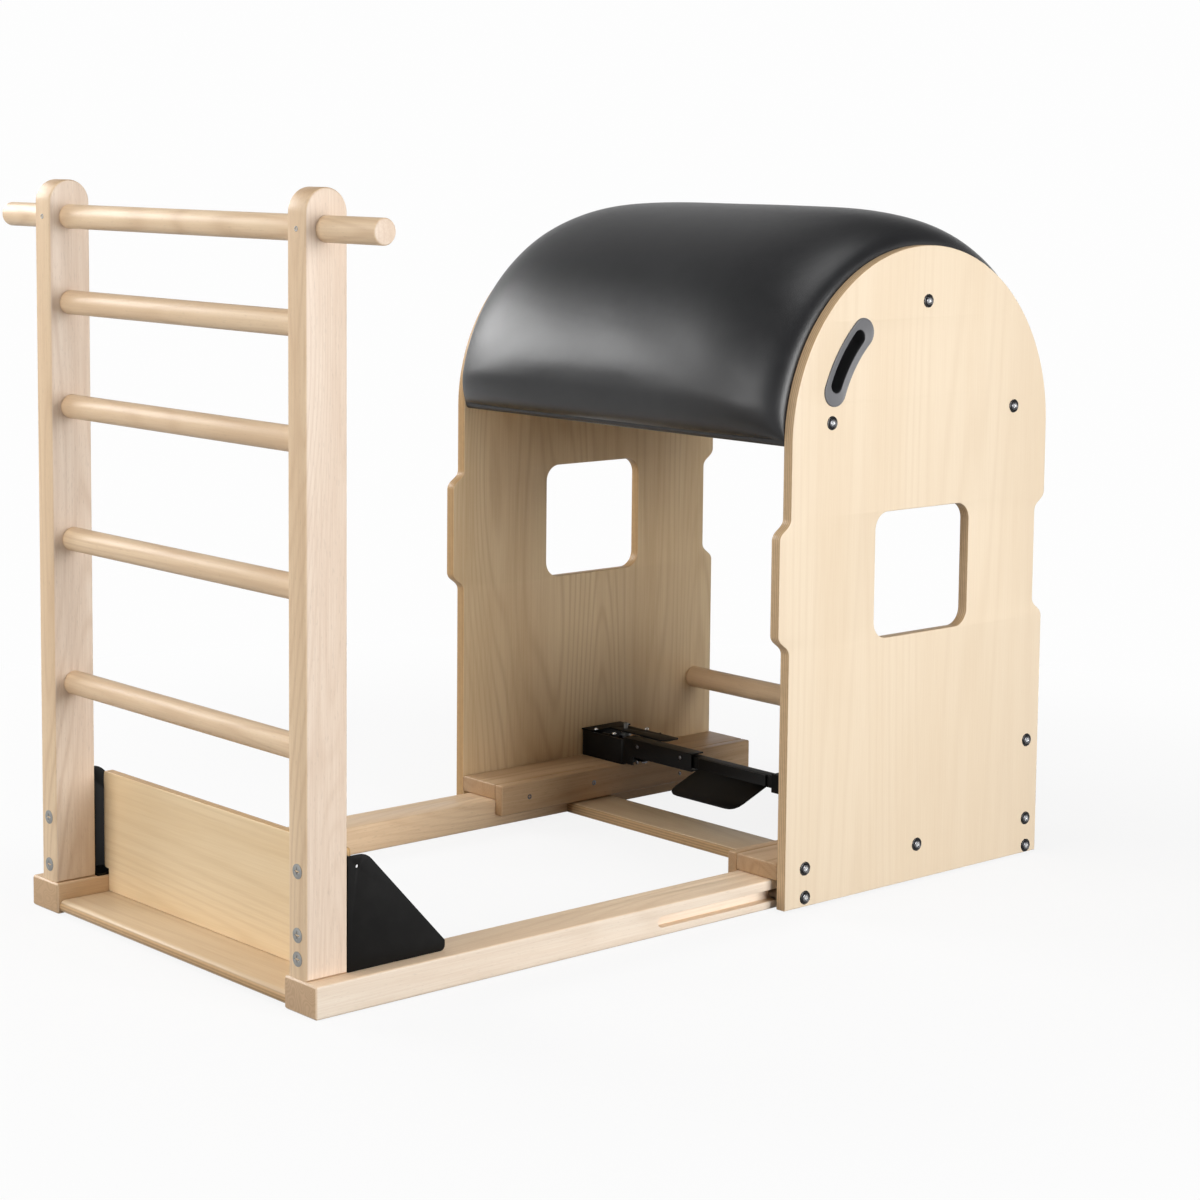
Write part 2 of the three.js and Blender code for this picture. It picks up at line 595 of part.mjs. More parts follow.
// Side panel: arched top, a middle band shifted towards the ladder, a window and the handle's slot
function panelOutline() {
  const front = PANEL_FRONT;
  const rear = PANEL_REAR;
  const low = BAND_LOW - BAND_BLEND;
  const high = BAND_HIGH + BAND_BLEND;
  const outline = new THREE.Shape();
  const blendTo = (fromX, fromZ, toX, toZ) => {
    const middle = (fromZ + toZ) / 2;
    outline.bezierCurveTo(fromX, middle, toX, middle, toX, toZ);
  };
  outline.moveTo(front, PANEL_RISE);
  outline.lineTo(rear, PANEL_RISE);
  outline.lineTo(rear, low);
  blendTo(rear, low, rear - BAND_SHIFT, BAND_LOW);
  outline.lineTo(rear - BAND_SHIFT, BAND_HIGH);
  blendTo(rear - BAND_SHIFT, BAND_HIGH, rear, high);
  outline.lineTo(rear, ARCH_RISE);
  for (let step = 1; step <= ARCH_STEPS; step++) {
    const angle = (Math.PI * step) / ARCH_STEPS;
    outline.lineTo(ARCH_X + ARCH_RADIUS * Math.cos(angle), ARCH_RISE + ARCH_RADIUS * Math.sin(angle));
  }
  outline.lineTo(front, high);
  blendTo(front, high, front - BAND_SHIFT, BAND_HIGH);
  outline.lineTo(front - BAND_SHIFT, BAND_LOW);
  blendTo(front - BAND_SHIFT, BAND_LOW, front, low);
  outline.closePath();
  return outline;
}

function panelGeometry() {
  const outline = panelOutline();
  const windowMiddle = (BAND_LOW + BAND_HIGH) / 2;
  outline.holes.push(
    rectangle(
      ARCH_X - WINDOW_WIDTH / 2,
      windowMiddle - WINDOW_HEIGHT / 2,
      ARCH_X + WINDOW_WIDTH / 2,
      windowMiddle + WINDOW_HEIGHT / 2,
      WINDOW_RADIUS,
    ),
  );
  const panel = extrude(outline, "Y", PANEL_INNER, PANEL_OUTER, PLY_SOFTENING, ARC_STEPS);
  const slot = arcSlot(HANDLE_SLOT_WIDTH / 2 + HANDLE_WALL + SEAT_GAP);
  return cut(panel, extrude(slot, "Y", PANEL_INNER - CUT_OVERRUN, PANEL_OUTER + CUT_OVERRUN, 0, ARC_STEPS));
}

// Handle recess: a moulded cup let into the panel, with a flange round its mouth
function handleGeometry() {
  const slotHalfWidth = HANDLE_SLOT_WIDTH / 2;
  const flangeFoot = PANEL_OUTER + SEAT_GAP;
  const mouth = flangeFoot + HANDLE_FLANGE_RISE;
  const cupEnd = mouth - HANDLE_DEPTH;
  const ringAt = (halfWidth, from, to, softening) =>
    extrude(arcSlot(halfWidth), "Y", from, to, softening, ARC_STEPS);
  const flange = ringAt(HANDLE_FLANGE_WIDTH / 2, flangeFoot, mouth, HANDLE_FLANGE_RISE / 4);
  const cup = ringAt(slotHalfWidth + HANDLE_WALL, cupEnd, mouth, 0);
  const hollow = ringAt(slotHalfWidth, cupEnd + HANDLE_WALL, mouth + CUT_OVERRUN, 0);
  return cut(join(flange, cup), hollow);
}

// Runner block on the rail, bored for the pin's bush
function runnerGeometry() {
  const low = [PANEL_FRONT, RUNNER_INNER, RUNNER_FOOT];
  const high = [PANEL_REAR, CARRIAGE_INNER, RUNNER_TOP];
  const block = board("X", low, high, WOOD_SOFTENING / 2);
  return cut(block, bushBore(RUNNER_FOOT, RUNNER_TOP));
}

function keeperGeometry() {
  const outer = RUNNER_INNER - SEAT_GAP;
  const low = [PANEL_FRONT, outer - KEEPER_THICKNESS, KEEPER_RISE];
  const high = [PANEL_REAR, outer, RUNNER_TOP];
  return board("X", low, high, PLY_SOFTENING);
}

function tongueGeometry() {
  const low = GROOVE_RISE + (GROOVE_HEIGHT - TONGUE_HEIGHT) / 2;
  const rear = PANEL_REAR - TONGUE_INSET;
  const outline = roundFrontBar(TONGUE_FRONT, rear, low, low + TONGUE_HEIGHT);
  return extrude(outline, "Y", RAIL_OUTER - TONGUE_REACH, CARRIAGE_INNER);
}

// Spreader: a bar between the panels whose outer edge follows the deck
function spreaderGeometry(degrees) {
  const seat = DECK_INNER - SEAT_GAP;
  const halfThickness = SPREADER_THICKNESS / 2;
  const inner = 2 * SPREADER_RADIUS - seat;
  const edge = Math.asin(halfThickness / seat);
  const outline = new THREE.Shape();
  outline.moveTo(-halfThickness, inner);
  outline.lineTo(halfThickness, inner);
  outline.absarc(0, 0, seat, Math.PI / 2 - edge, Math.PI / 2 + edge, false);
  outline.closePath();
  const bar = extrude(outline, "Y", -CARRIAGE_INNER, CARRIAGE_INNER);
  const turn = Math.PI / 2 - THREE.MathUtils.degToRad(degrees);
  return bar.rotateY(turn).translate(ARCH_X, 0, ARCH_RISE);
}

// Deck: bent plywood under the pad
function deckGeometry() {
  const outline = new THREE.Shape();
  const end = Math.PI + PAD_END_ANGLE;
  outline.absarc(ARCH_X, ARCH_RISE, DECK_OUTER, -PAD_END_ANGLE, end, false);
  outline.absarc(ARCH_X, ARCH_RISE, DECK_INNER, end, -PAD_END_ANGLE, true);
  return extrude(outline, "Y", -CARRIAGE_INNER, CARRIAGE_INNER, 0, ARCH_STEPS);
}

// Pad: rings across the barrel, one for each station round the arch. The crown rises from the panels
// as the square root of one minus a power of the distance from the middle, and fades at both lower edges.
function padRadius(acrossShare, angle) {
  const taper = THREE.MathUtils.degToRad(PAD_TAPER_DEGREES);
  const grown = THREE.MathUtils.smoothstep(Math.sin(angle), 0, Math.sin(taper));
  const bulge = Math.sqrt(1 - Math.abs(acrossShare) ** PAD_CROWN_POWER);
  return PAD_EDGE_RADIUS + (PAD_CROWN + PAD_SINK) * bulge * grown;
}

function padGeometry() {
  const underside = DECK_OUTER + SEAT_GAP;
  const columnShares = Array.from(
    { length: PAD_COLUMNS + 1 },
    (_, column) => -Math.cos((Math.PI * column) / PAD_COLUMNS),
  );
  const sweep = Math.PI + 2 * PAD_END_ANGLE;
  const rings = Array.from({ length: PAD_STATIONS + 1 }, (_, station) => {
    const angle = (sweep * station) / PAD_STATIONS - PAD_END_ANGLE;
    const place = (radius, acrossShare) => [
      ARCH_X + radius * Math.cos(angle),
      acrossShare * CARRIAGE_INNER,
      ARCH_RISE + radius * Math.sin(angle),
    ];
    const crown = columnShares.map((share) => place(padRadius(share, angle), share));
    return [...crown, place(underside, 1), place(underside, -1)];
  });
  return loft(rings);
}

// Housing: a folded tray on the runner block, open above and behind, round the cranks and the pins
function housingGeometry() {
  const rear = HOUSING_FRONT + HOUSING_LENGTH;
  const tray = (inset, beyond, from, to) => {
    const corner = HOUSING_CORNER - inset;
    const outline = outlineOf([
      [HOUSING_FRONT + inset, HOUSING_INNER + inset, corner],
      [rear + beyond, HOUSING_INNER + inset],
      [rear + beyond, CARRIAGE_INNER - inset],
      [HOUSING_FRONT + inset, CARRIAGE_INNER - inset, corner],
    ]);
    return extrude(outline, "Z", from, to);
  };
  const shell = tray(0, 0, HOUSING_FOOT, HOUSING_TOP);
  const hollow = tray(SHEET, CUT_OVERRUN, HOUSING_FOOT + SHEET, HOUSING_TOP + CUT_OVERRUN);
  const notchRadius = BUSH_OUTER + SEAT_GAP;
  const notchStart = HOUSING_INNER - CUT_OVERRUN;
  const notchEnd = HOUSING_INNER + SHEET + CUT_OVERRUN;
  const notch = rod("Y", notchRadius, notchStart, notchEnd, ROUND, PIVOT_X, 0, PIVOT_Z);
  const mouthLow = [PIVOT_X - notchRadius, notchStart, PIVOT_Z];
  const mouthHigh = [PIVOT_X + notchRadius, notchEnd, HOUSING_TOP + CUT_OVERRUN];
  const journalStart = CARRIAGE_INNER - SHEET - CUT_OVERRUN;
  const journalEnd = CARRIAGE_INNER + CUT_OVERRUN;
  const journalHole = rod("Y", BUSH_INNER, journalStart, journalEnd, ROUND, PIVOT_X, 0, PIVOT_Z);
  const bushHole = bushBore(HOUSING_FOOT, HOUSING_FOOT + SHEET);
  return cut(shell, hollow, join(notch, board("Y", mouthLow, mouthHigh, 0)), journalHole, bushHole);
}

// Bush round the bar's journal in the housing's inner wall
function pivotBushGeometry() {
  const end = BUSH_START + BUSH_LENGTH;
  const profile = [
    [BUSH_INNER, BUSH_START],
    [BUSH_OUTER, BUSH_START],
    [BUSH_OUTER, end],
    [BUSH_INNER, end],
    [BUSH_INNER, BUSH_START],
  ];
  return turned("Y", profile, ROUND, PIVOT_X, 0, PIVOT_Z);
}

// Flanged bush that guides the pin through the housing's floor and the runner block
function pinBushGeometry() {
  const flangeFoot = HOUSING_FOOT + SHEET + SEAT_GAP;
  const flangeTop = flangeFoot + PIN_BUSH_FLANGE;
  const flangeRadius = PIN_BUSH_FLANGE_DIAMETER / 2;
  const profile = [
    [PIN_BUSH_INNER, RUNNER_FOOT],
    [PIN_BUSH_OUTER, RUNNER_FOOT],
    [PIN_BUSH_OUTER, flangeFoot],
    [flangeRadius, flangeFoot],
    [flangeRadius, flangeTop],
    [PIN_BUSH_INNER, flangeTop],
    [PIN_BUSH_INNER, RUNNER_FOOT],
  ];
  return turned("Z", profile, SMALL_ROUND, PIN_X, RAIL_MIDDLE, 0);
}

// Strap over the housing: it holds the springs down and guides the pins' upper ends
function strapGeometry() {
  const legInner = CARRIAGE_INNER - STRAP_LEG;
  const armFront = PIN_X - STRAP_ARM / 2;
  const armRear = PIN_X + STRAP_ARM / 2;
  const armEnd = HOUSING_INNER - STRAP_TAB;
  const legRear = HOUSING_FRONT + HOUSING_LENGTH;
  const outline = outlineOf([
    [armFront, armEnd, STRAP_CORNER],
    [armRear, armEnd, STRAP_CORNER],
    [armRear, legInner],
    [legRear, legInner],
    [legRear, CARRIAGE_INNER],
    [HOUSING_FRONT, CARRIAGE_INNER],
    [HOUSING_FRONT, legInner],
    [armFront, legInner],
  ]);
  const plate = extrude(outline, "Z", STRAP_FOOT, STRAP_TOP);
  const holeRadius = PIN_STEM_RADIUS + BUSH_CLEARANCE;
  return cut(plate, onPinAxis(holeRadius, STRAP_FOOT - CUT_OVERRUN, STRAP_TOP + CUT_OVERRUN));
}

// Bracket: a channel beside the housing that covers the bar from the front, with a foot below it
function bracketGeometry() {
  const inside = BAR_SIZE / 2 + BRACKET_CLEARANCE;
  const outside = inside + SHEET;
  const end = HOUSING_INNER - SEAT_GAP;
  const outline = outlineOf([
    [PIVOT_X - outside, PIVOT_Z - outside],
    [PIVOT_X + inside, PIVOT_Z - outside],
    [PIVOT_X + inside, PIVOT_Z - inside],
    [PIVOT_X - inside, PIVOT_Z - inside],
    [PIVOT_X - inside, PIVOT_Z + inside],
    [PIVOT_X + inside, PIVOT_Z + inside],
    [PIVOT_X + inside, PIVOT_Z + outside],
    [PIVOT_X - outside, PIVOT_Z + outside],
  ]);
  const channel = extrude(outline, "Y", BRACKET_START, end);
  const footLow = [PIVOT_X - outside, end - BRACKET_FOOT, PIVOT_Z - outside - BRACKET_FOOT_DROP];
  const footHigh = [PIVOT_X - inside, end, PIVOT_Z];
  return join(channel, board("X", footLow, footHigh, 0));
}

// Square bar from housing to housing, turned down to journals at both ends
function crossbarGeometry() {
  const half = BAR_SIZE / 2;
  const low = [PIVOT_X - half, -BAR_HALF_LENGTH, PIVOT_Z - half];
  const high = [PIVOT_X + half, BAR_HALF_LENGTH, PIVOT_Z + half];
  const bar = board("Y", low, high, 0, BAR_CORNER);
  return join(bar, rod("Y", JOURNAL_RADIUS, -JOURNAL_END, JOURNAL_END, ROUND, PIVOT_X, 0, PIVOT_Z));
}

// Pedal: a folded plate, its flange against the bar's front face and its tread sloping down to the ladder
function pedalGeometry() {
  const back = PIVOT_X - BAR_SIZE / 2 - SEAT_GAP;
  const foot = PIVOT_Z - PEDAL_FLANGE / 2;
  const half = PEDAL_WIDTH / 2;
  const flange = board("X", [back - PEDAL_SHEET, -half, foot], [back, half, foot + PEDAL_FLANGE], 0);
  const outline = outlineOf([
    [0, -half],
    [0, half],
    [-PEDAL_LENGTH, half, PEDAL_CORNER],
    [-PEDAL_LENGTH, -half, PEDAL_CORNER],
  ]);
  const tread = extrude(outline, "Z", -PEDAL_SHEET, 0);
  tread.rotateY(-THREE.MathUtils.degToRad(PEDAL_SLOPE_DEGREES));
  return join(flange, tread.translate(back - PEDAL_SHEET / 2, 0, foot + PEDAL_SHEET));
}

// Crank on the bar's journal: a hub and two prongs that straddle the pin under its collar
function crankGeometry() {
  const prongInner = PIN_RADIUS + RUNNING_GAP;
  const prongOuter = prongInner + CRANK_PRONG;
  const hubRadius = JOURNAL_RADIUS + SEAT_GAP + CRANK_HUB_WALL;
  const hub = rod("Y", hubRadius, -prongOuter, prongOuter, ROUND, 0, 0, 0);
  const prongs = [-prongOuter, prongInner].map((from) => {
    const to = from + CRANK_PRONG;
    const arm = board("Y", [0, from, -CRANK_NOSE_RADIUS], [CRANK_LENGTH, to, CRANK_ARM_TOP], 0);
    return join(arm, rod("Y", CRANK_NOSE_RADIUS, from, to, SMALL_ROUND, CRANK_LENGTH, 0, 0));
  });
  const boreEnd = prongOuter + CUT_OVERRUN;
  const bore = rod("Y", JOURNAL_RADIUS + SEAT_GAP, -boreEnd, boreEnd, ROUND, 0, 0, 0);
  const crank = cut(join(hub, ...prongs), bore);
  return crank.rotateY(CRANK_DROP).translate(PIVOT_X, RAIL_MIDDLE, PIVOT_Z);
}

// Lock pin: a thick lower end, the collar that the crank lifts, and a stem through the strap
function pinGeometry() {
  const collar = PIN_COLLAR_DIAMETER / 2;
  const top = STRAP_TOP + PIN_TOP_RISE;
  const profile = [
    [0, PIN_FOOT],
    [PIN_RADIUS - PIN_CHAMFER, PIN_FOOT],
    [PIN_RADIUS, PIN_FOOT + PIN_CHAMFER],
    [PIN_RADIUS, COLLAR_FOOT],
    [collar, COLLAR_FOOT],
    [collar, COLLAR_TOP],
    [PIN_STEM_RADIUS, COLLAR_TOP],
    [PIN_STEM_RADIUS, top - PIN_CHAMFER],
    [PIN_STEM_RADIUS - PIN_CHAMFER, top],
    [0, top],
  ];
  return turned("Z", profile, SMALL_ROUND, PIN_X, RAIL_MIDDLE, 0);
}

// Spring between the pin's collar and the strap
function springGeometry() {
  const wire = SPRING_WIRE / 2;
  const coil = SPRING_DIAMETER / 2 - wire;
  const foot = COLLAR_TOP + SEAT_GAP + wire;
  const rise = STRAP_FOOT - SEAT_GAP - wire - foot;
  const steps = SPRING_TURNS * SPRING_STEPS;
  const rings = Array.from({ length: steps + 1 }, (_, step) => {
    const turn = (2 * Math.PI * step) / SPRING_STEPS;
    return Array.from({ length: SPRING_SIDES }, (_side, side) => {
      const around = (2 * Math.PI * side) / SPRING_SIDES;
      const radius = coil + wire * Math.cos(around);
      const x = PIN_X + radius * Math.cos(turn);
      const y = RAIL_MIDDLE + radius * Math.sin(turn);
      return [x, y, foot + (rise * step) / steps - wire * Math.sin(around)];
    });
  });
  return loft(rings);
}

// The base: rails, the boards between them, and the ladder
addPair("rail", "beech", railGeometry());
add("foot_plank", "ply", plankGeometry());
add("cross_board", "ply", crossBoardGeometry());
add("kick_board", "ply", kickBoardGeometry());
add("upright_near", "beech", uprightGeometry(NEAR_SCREW_RISES), NEAR);
add("upright_far", "beech", uprightGeometry(FAR_SCREW_RISES), FAR);
RUNG_HEIGHT_SHARES.forEach((share, index) => {
  const number = RUNG_HEIGHT_SHARES.length - index;
  const halfLength = number > 1 ? RUNG_SOCKET_END - SEAT_GAP : UPRIGHT_OUTER + TOP_RUNG_OVERHANG;
  add(number > 1 ? `rung_${number}` : "top_rung", "beech", rungGeometry(share, halfLength));
});
add("gusset_near", "blackSteel", gussetGeometry(NEAR_SCREW_RISES), NEAR);
add("gusset_far", "blackSteel", gussetGeometry(FAR_SCREW_RISES), FAR);
NEAR_SCREW_RISES.forEach((rise, index) => {
  add(`upright_screw_near_${index + 1}`, "brightSteel", screwGeometry(rise), NEAR);
});
FAR_SCREW_RISES.forEach((rise, index) => {
  add(`upright_screw_far_${index + 1}`, "brightSteel", screwGeometry(rise), FAR);
});

// The barrel, which slides on the rails
addPair("side_panel", "ply", panelGeometry());
addPair("handle_insert", "greyPlastic", handleGeometry());
addPair("runner_block", "beech", runnerGeometry());
addPair("keeper_board", "ply", keeperGeometry());
addPair("guide_tongue", "nylon", tongueGeometry());
for (const [place, degrees] of Object.entries(SPREADER_DEGREES)) {
  add(`spreader_${place}`, "ply", spreaderGeometry(degrees));
}
add("barrel_deck", "ply", deckGeometry());
add("barrel_pad", "leather", padGeometry());
add("rear_rung", "beech", rearRungGeometry());

// The lock
addPair("latch_housing", "blackSteel", housingGeometry());
addPair("latch_strap", "blackSteel", strapGeometry());
addPair("pivot_bracket", "blackSteel", bracketGeometry());
addPair("pivot_bush", "nylon", pivotBushGeometry());
addPair("pin_bush", "nylon", pinBushGeometry());
add("crossbar", "blackSteel", crossbarGeometry());
add("pedal_plate", "blackSteel", pedalGeometry());
addPair("crank_arm", "blackSteel", crankGeometry());
addPair("lock_pin", "brightSteel", pinGeometry());
addPair("lock_spring", "brightSteel", springGeometry());

// The origin goes to the floor below the middle of everything
const whole = new THREE.Box3().setFromObject(ladderBarrel);
ladderBarrel.position.x = -(whole.min.x + whole.max.x) / 2;

export default ladderBarrel;
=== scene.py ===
"""Looks of a pilates ladder barrel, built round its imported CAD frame.

All places are in metres in the frame's own axes: +X runs along the rails from the ladder to the barrel,
+Y across to the far side and +Z up. Near is the -Y side, which the camera sees, and far the +Y side.
"""

import logging
import math
from collections.abc import Callable
from dataclasses import dataclass, field
from enum import Enum
from functools import cache, cached_property, partial

import bmesh
import bpy
import numpy as np
from mathutils import Matrix, Vector
from mathutils.geometry import tessellate_polygon


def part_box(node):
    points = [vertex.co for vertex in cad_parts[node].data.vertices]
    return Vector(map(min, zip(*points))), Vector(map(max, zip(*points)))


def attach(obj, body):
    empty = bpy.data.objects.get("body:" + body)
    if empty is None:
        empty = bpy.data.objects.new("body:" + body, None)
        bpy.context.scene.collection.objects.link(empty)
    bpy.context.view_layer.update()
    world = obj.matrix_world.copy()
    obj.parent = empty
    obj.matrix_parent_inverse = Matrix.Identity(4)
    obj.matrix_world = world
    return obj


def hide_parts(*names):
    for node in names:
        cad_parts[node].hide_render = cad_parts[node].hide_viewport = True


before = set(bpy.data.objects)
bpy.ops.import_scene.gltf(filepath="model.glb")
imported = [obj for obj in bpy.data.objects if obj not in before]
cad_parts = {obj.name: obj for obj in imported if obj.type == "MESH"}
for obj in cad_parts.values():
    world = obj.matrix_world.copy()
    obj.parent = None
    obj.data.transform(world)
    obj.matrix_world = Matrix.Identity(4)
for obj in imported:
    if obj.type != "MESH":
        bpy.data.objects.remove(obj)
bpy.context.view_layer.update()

log = logging.getLogger("ladder_barrel")

Colour = tuple[float, float, float]
Place = tuple[float, float, float]
Pair = tuple[float, float]

MM = 0.001
RAIL_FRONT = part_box("rail_near")[0].x  # everything along X is measured from here
SAME_POINT = 2e-6  # points nearer to each other than this are one
NO_LENGTH = 1e-7  # an edge shorter than this is dropped
FLAT_DEGREES = 0.5  # faces that turn by less than this are one
BEVEL_DEGREES = 30.0  # edges that turn by more than this are bevelled


class Axis(Enum):
    """A row axis, by its place in a point."""

    X = 0
    Y = 1
    Z = 2


class Side(Enum):
    """A side of the barrel, with the sign that Y has there."""

    NEAR = -1
    FAR = 1

    def node(self, name: str) -> str:
        """The name of a pair's node on this side."""
        return f"{name}_{self.name.lower()}"

    def face(self, name: str, outward: bool = True) -> float:
        """The Y of the face that a pair's node on this side turns outward, or else to the middle."""
        low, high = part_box(self.node(name))
        return high.y if (self is Side.FAR) == outward else low.y


def along(distance_mm: float) -> float:
    """The X of a place so many millimetres behind the rails' front ends."""
    return RAIL_FRONT + distance_mm * MM


# Shader graphs


def maths(operation: str) -> Callable[..., "Value"]:
    """A method that adds one Math node on its own value and any others.

    Args:
        operation: What the node does.

    Returns:
        The method.
    """

    def method(*values: "Value | float") -> "Value":
        """Adds the node."""
        return values[0].graph.node("ShaderNodeMath", {"operation": operation}, dict(enumerate(values)))

    return method


@dataclass(frozen=True)
class Value:
    """A shader socket. Arithmetic on it adds Math nodes."""

    graph: "Graph"
    socket: bpy.types.NodeSocket

    __add__ = maths("ADD")
    __mul__ = maths("MULTIPLY")
    __abs__ = maths("ABSOLUTE")
    sine = maths("SINE")
    power = maths("POWER")
    greatest = maths("MAXIMUM")

    def __rsub__(self, other: float) -> "Value":
        """Difference from a number."""
        return self.graph.node("ShaderNodeMath", {"operation": "SUBTRACT"}, {0: other, 1: self})

    def other(self, name: str) -> "Value":
        """Another output of the same node."""
        return Value(self.graph, self.socket.node.outputs[name])

    def wave(self) -> "Value":
        """Half of one plus the sine of the value in radians, so from 0 to 1."""
        return self.sine() * 0.5 + 0.5

    def step(self, low: float, high: float) -> "Value":
        """0 below low and 1 above high, with a smooth rise between them."""
        sockets = {"Value": self, "From Min": low, "From Max": high}
        return self.graph.node("ShaderNodeMapRange", {"interpolation_type": "SMOOTHSTEP"}, sockets)


@dataclass(frozen=True)
class Pattern:
    """A fractal noise: its scale, detail and roughness, and its scale along the grain as a share."""

    scale: float
    detail: float = 2.0
    roughness: float = 0.5
    drawn: float = 1.0


class Graph:
    """The node tree of one material or world."""

    def __init__(self, owner: bpy.types.Material | bpy.types.World) -> None:
        """Empties the owner's tree.

        Args:
            owner: The material or world to build in.
        """
        owner.use_nodes = True
        self.tree = owner.node_tree
        self.tree.nodes.clear()

    @cached_property
    def place(self) -> Value:
        """The place in Object coordinates."""
        return self.node("ShaderNodeTexCoord", output="Object")

    def node(
        self, kind: str, settings: dict | None = None, sockets: dict | None = None, output: str | int = 0
    ) -> Value | None:
        """Adds any node.

        Args:
            kind: The node's type.
            settings: Its own properties, set first.
            sockets: Values or links of its inputs, by name or number.
            output: The output to return.

        Returns:
            The output asked for, or None from a node that has no outputs.
        """
        made = self.tree.nodes.new(kind)
        for name, value in (settings or {}).items():
            setattr(made, name, value)
        for name, value in (sockets or {}).items():
            if isinstance(value, Value):
                self.tree.links.new(value.socket, made.inputs[name])
            elif isinstance(value, tuple) and made.inputs[name].type == "RGBA":
                made.inputs[name].default_value = (*value, 1.0)
            else:
                made.inputs[name].default_value = value
        return Value(self, made.outputs[output]) if len(made.outputs) else None

    def scaled(self, vector: Value, scale: Place, shift: float = 0.0) -> Value:
        """A vector multiplied part by part, then shifted alike on every axis."""
        sockets = {0: vector, 1: scale, 2: (shift, shift, shift)}
        return self.node("ShaderNodeVectorMath", {"operation": "MULTIPLY_ADD"}, sockets)

    def noise(self, vector: Value, pattern: Pattern) -> Value:
        """Fractal noise from 0 to 1."""
        sockets = {"Scale": pattern.scale, "Detail": pattern.detail, "Roughness": pattern.roughness}
        return self.node("ShaderNodeTexNoise", {"noise_dimensions": "3D"}, {"Vector": vector, **sockets})

    def blend(
        self, factor: Value | float, first: Value | Colour, second: Value | Colour, how: str = "MIX"
    ) -> Value:
        """Mixes two colours by a factor."""
        settings = {"data_type": "RGBA", "blend_type": how}
        return self.node("ShaderNodeMix", settings, {0: factor, 6: first, 7: second}, output=2)

    def part(self, vector: Value, axis: Axis) -> Value:
        """One part of a vector."""
        return self.node("ShaderNodeSeparateXYZ", {}, {0: vector}, output=axis.value)

    def bump(self, height: Value, distance: float, strength: float) -> Value:
        """A normal tilted by a height map."""
        return self.node("ShaderNodeBump", {}, {"Height": height, "Distance": distance, "Strength": strength})

    def mixed(self, factor: Value, first: Value, second: Value, output: str) -> None:
        """Ends the tree with two shaders mixed by a factor."""
        shader = self.node("ShaderNodeMixShader", {}, {0: factor, 1: first, 2: second})
        self.node(output, {}, {"Surface": shader})


def toned(colour: Colour, share: float | Colour, lift: float = 0.0) -> Colour:
    """A colour times a share, or times a share for each part, plus a lift."""
    return tuple((np.multiply(colour, share) + lift).tolist())


# Finishes

STREAKS = Pattern(14.0, drawn=0.1)
FIBRES = Pattern(420.0, 3.0, 0.65, 0.02)
PORES = Pattern(850.0, 1.0, 0.4, 0.1)
END_RINGS = Pattern(26.0, 1.0, 0.4)
PLY_PATCHES = Pattern(120.0, 2.0, 0.6)
PEBBLES = Pattern(260.0, 2.0, 0.6)
FOAM = Pattern(30.0)
PEEL = Pattern(900.0)
HANDLING = Pattern(24.0, 4.0, 0.6)
HAZE = Pattern(700.0, 3.0, 0.6)
STAIN = Pattern(60.0)
SKIN = Pattern(1900.0, 1.0)
FLOW = Pattern(45.0)

# Shares of a wood's late colour
LINE_SHADE = (0.84, 0.78, 0.72)
PORE_SHADE = 0.72
END_PALE, END_DARK = (0.80, 0.74, 0.66), (0.62, 0.54, 0.45)
PLY_PALE, PLY_DARK = (0.92, 0.81, 0.66), (0.56, 0.46, 0.35)
END_RING_COUNT = 150.0


@dataclass(frozen=True)
class Finish:
    """A material by its name. Each kind gives the inputs of its Principled shader."""

    name: str

    def sockets(self, g: Graph) -> dict:
        """The shader's inputs by name."""
        raise NotImplementedError

    def material(self) -> bpy.types.Material:
        """Builds the finish.

        Returns:
            The material.
        """
        made = bpy.data.materials.new(self.name)
        g = Graph(made)
        shader = g.node("ShaderNodeBsdfPrincipled", {}, self.sockets(g))
        g.node("ShaderNodeOutputMaterial", {}, {"Surface": shader})
        return made


